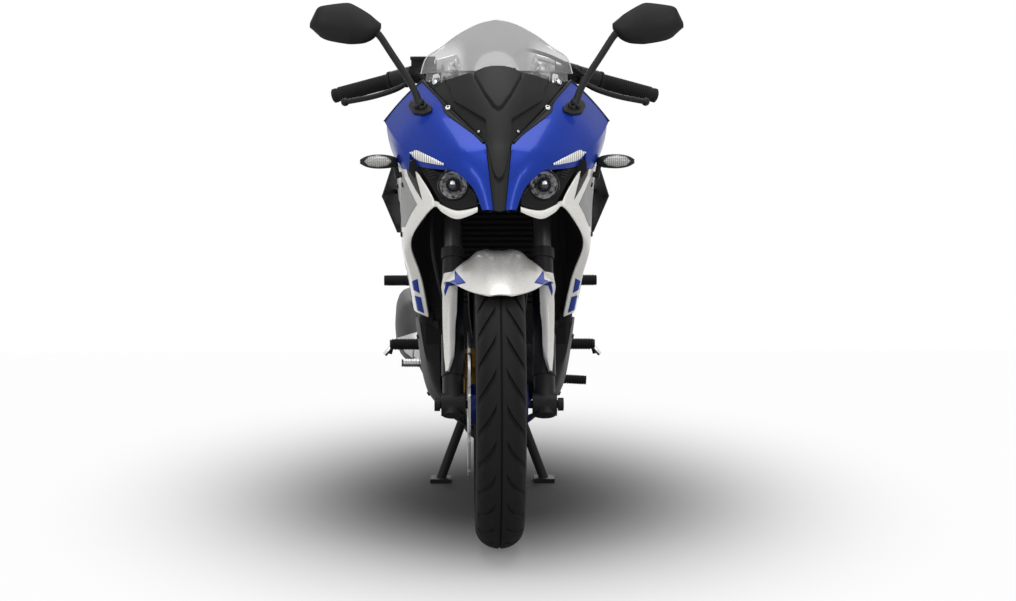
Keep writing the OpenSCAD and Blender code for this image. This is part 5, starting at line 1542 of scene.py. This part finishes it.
class BIKE_OT_fasteners(bpy.types.Operator):
    """Sets screws on the engine, filler lid, yokes and panels, and lays the mirror glass and the dash face"""

    bl_idname = "bike.fasteners"
    bl_label = "Fasteners"

    # Rings of screws: body, centre, ring radius, count, side that they face (0 is up), screw radius
    RINGS = (
        ("clutch_screws", "chassis", (-122, 640, 14), 66, 9, -1, 4.5),
        ("drive_screws", "chassis", (112, 610, 0), 64, 8, 1, 4.5),
        ("filler_screws", "fuel_lid", (0, 566, 657.2), 38, 7, 0, 2.6))
    # Screws in the panels: depth and height
    PANEL_SCREWS = (("side_fairing", ((190, 440), (300, 430), (250, 330), (460, 300), (540, 230))),
                    ("side_wings", ((400, 400), (600, 440))),
                    ("belly_pan", ((430, 90), (560, 90), (600, -60))),
                    ("tail_cowl", ((880, 430), (1040, 440))))
    RAKE = math.radians(25.5)
    # Mirror glass from behind: side place and height
    GLASS = ((262, 747), (270, 742), (302, 739), (318, 740), (356, 747), (373, 757), (382, 768), (378, 790),
             (371, 806), (355, 811), (318, 816), (302, 813), (270, 794), (261, 782))

    def execute(self, context):
        drape("mirror_glass", "mirrors", self.GLASS, 0.0009, "mirror_glass", line=from_behind, step=7.0)
        turn = Matrix.Rotation(math.radians(30), 3, "X")
        corner = place(-70, 168, 602)
        rings = []
        for inset, up in ((6, 23.5), (6, 25.5), (8, 26.5)):
            right, far = 140 - inset, 66 - inset
            face = ((inset, inset), (right, inset), (right, far), (inset, far))
            rings.append([corner + turn @ Vector((x / 1000, y / 1000, up / 1000)) for x, y in face])
        Build().rings(rings).done("dash_face", "chassis", "dash_glass", 30)
        for name, body, centre, radius, count, side, screw in self.RINGS:
            made = Build()
            axis = Vector((side, 0, 0)) if side else Vector((0, 0, 1))
            middle = place(*centre)
            one = Vector((0, 1, 0))
            two = axis.cross(one)
            for k in range(count):
                q = 2 * math.pi * (k + 0.5) / count
                made.screw(middle + (one * math.cos(q) + two * math.sin(q)) * radius / 1000, axis,
                           screw / 1000)
            made.done(name, body, "satin_steel", 40)
        made = Build()
        for node, spots in self.PANEL_SCREWS:
            for side in (1, -1):
                for spot in spots:
                    at, normal = on_skin(node, from_side, *spot, side)
                    made.screw(at + normal * 0.0004, normal, 0.0055)
        made.done("panel_screws", "chassis", "gloss_black", 40)
        made = Build()
        lean, rise = math.sin(self.RAKE), math.cos(self.RAKE)
        for side in (1, -1):
            for u in (512, 702):
                made.screw(place(side * 94, u * lean - 29 * rise, u * rise + 29 * lean),
                           Vector((0, -rise, lean)), 0.0065)
        made.done("yoke_screws", "steering", "satin_steel", 40)
        return {"FINISHED"}


class BIKE_OT_stage(bpy.types.Operator):
    """Sets the camera, the lamps, the floor and the white background"""

    bl_idname = "bike.stage"
    bl_label = "Stage"

    # Area lamps: place, target, width, height, power
    LAMPS = (
        ("lamp_top", (0.0, -1.0, 4.2), (0.0, -0.4, 0.5), 3.0, 2.2, 95.0),
        ("lamp_front_left", (2.6, -4.4, 2.9), (0.0, -0.6, 0.7), 1.2, 1.6, 42.0),
        ("lamp_front_right", (-2.6, -4.4, 2.9), (0.0, -0.6, 0.7), 1.2, 1.6, 42.0),
        ("lamp_rear", (0.0, 3.6, 2.8), (0.0, 0.3, 0.6), 3.0, 1.4, 60.0))
    FILL_LIGHT = 0.36
    FLOOR_WHITE = (0.985, 0.985, 0.985)

    def execute(self, context):
        scene = context.scene
        scene.view_settings.view_transform = "Standard"
        self.camera(scene)
        for name, at, to, wide, high, power in self.LAMPS:
            lamp = bpy.data.lights.new(name, "AREA")
            lamp.shape = "RECTANGLE"
            lamp.size, lamp.size_y, lamp.energy = wide, high, power
            obj = bpy.data.objects.new(name, lamp)
            obj.location = at
            obj.rotation_euler = (Vector(to) - Vector(at)).to_track_quat("-Z", "Y").to_euler()
            scene.collection.objects.link(obj)
        self.background(scene)
        self.floor(scene)
        return {"FINISHED"}

    def camera(self, scene):
        at, forward, _, _ = camera_axes()
        camera = bpy.data.cameras.new("camera")
        camera.sensor_width = SENSOR
        camera.lens = scene.bike_stage.lens
        obj = bpy.data.objects.new("camera", camera)
        obj.location = at
        obj.rotation_euler = forward.to_track_quat("-Z", "Y").to_euler()
        scene.collection.objects.link(obj)
        scene.camera = obj

    def background(self, scene):
        world = bpy.data.worlds.new("studio")
        world.use_nodes = True
        graph = Graph(world.node_tree)
        strength = graph.add("ShaderNodeMapRange", {},
                             {"Value": graph.seen(), "To Min": self.FILL_LIGHT, "To Max": 1.0}, "Result")
        glow = graph.add("ShaderNodeBackground", {}, {"Color": (1.0, 1.0, 1.0), "Strength": strength})
        graph.add("ShaderNodeOutputWorld", {}, {"Surface": glow}, None)
        scene.world = world

    def floor(self, scene):
        mesh = bpy.data.meshes.new("floor")
        wide, back = 40.0, 2.55
        mesh.from_pydata([(-wide, -wide, 0), (wide, -wide, 0), (wide, back, 0), (-wide, back, 0)], [],
                         [(0, 1, 2, 3)])
        obj = bpy.data.objects.new("floor", mesh)
        scene.collection.objects.link(obj)
        f = Finish("studio_floor", Roughness=0.75, Specular_IOR_Level=0.1)
        # The base colour paints a shadow pool round the bike that fades to near white further out; away from the
        # bike the floor also glows an even white to camera, glossy and transmission rays.
        shade = scene.bike_stage.floor_shadow
        near = f.add("ShaderNodeVectorMath", {"operation": "ADD"}, {0: f.at, 1: (0.0, 0.1, 0.0)})
        flat = f.add("ShaderNodeVectorMath", {"operation": "MULTIPLY"}, {0: near, 1: (1.0, 0.62, 0.0)})
        ring = f.add("ShaderNodeVectorMath", {"operation": "LENGTH"}, {0: flat}, "Value").step(0.12, 1.25)
        f.set(Base_Color=f.mix(ring, (shade, shade, shade), (0.96, 0.96, 0.96)))
        glow = f.add("ShaderNodeEmission", {}, {"Color": self.FLOOR_WHITE, "Strength": 1.0}, "Emission")
        both = f.add("ShaderNodeMixShader", {}, {0: f.seen() * ring, 1: f.lit, 2: glow}, "Shader")
        f.feed(f.output.inputs["Surface"], both)
        mesh.materials.append(f.material)


class BIKE_PT_sidebar(bpy.types.Panel):
    """Lists the steps that dress the bike"""

    bl_idname = "BIKE_PT_sidebar"
    bl_label = "Sport bike"
    bl_space_type = "VIEW_3D"
    bl_region_type = "UI"
    bl_category = "Sport bike"

    def draw(self, context):
        for step in STEPS:
            self.layout.operator(step.bl_idname)


STEPS = (BIKE_OT_stage, BIKE_OT_tyres, BIKE_OT_machined, BIKE_OT_panels, BIKE_OT_lamps, BIKE_OT_cowl,
         BIKE_OT_fins, BIKE_OT_hands, BIKE_OT_chain, BIKE_OT_seats, BIKE_OT_fasteners)
GROUPS = {"bike_paint": PaintSettings, "bike_stage": StageSettings, "bike_tyres": TyreSettings}
CLASSES = (*GROUPS.values(), *STEPS, BIKE_PT_sidebar)


def register():
    for cls in CLASSES:
        bpy.utils.register_class(cls)
    for name, group in GROUPS.items():
        setattr(bpy.types.Scene, name, bpy.props.PointerProperty(type=group))


def unregister():
    for name in GROUPS:
        delattr(bpy.types.Scene, name)
    for cls in reversed(CLASSES):
        bpy.utils.unregister_class(cls)


def main():
    register()
    for step in STEPS:
        group, name = step.bl_idname.split(".")
        getattr(getattr(bpy.ops, group), name)()


if __name__ == "__main__":
    main()
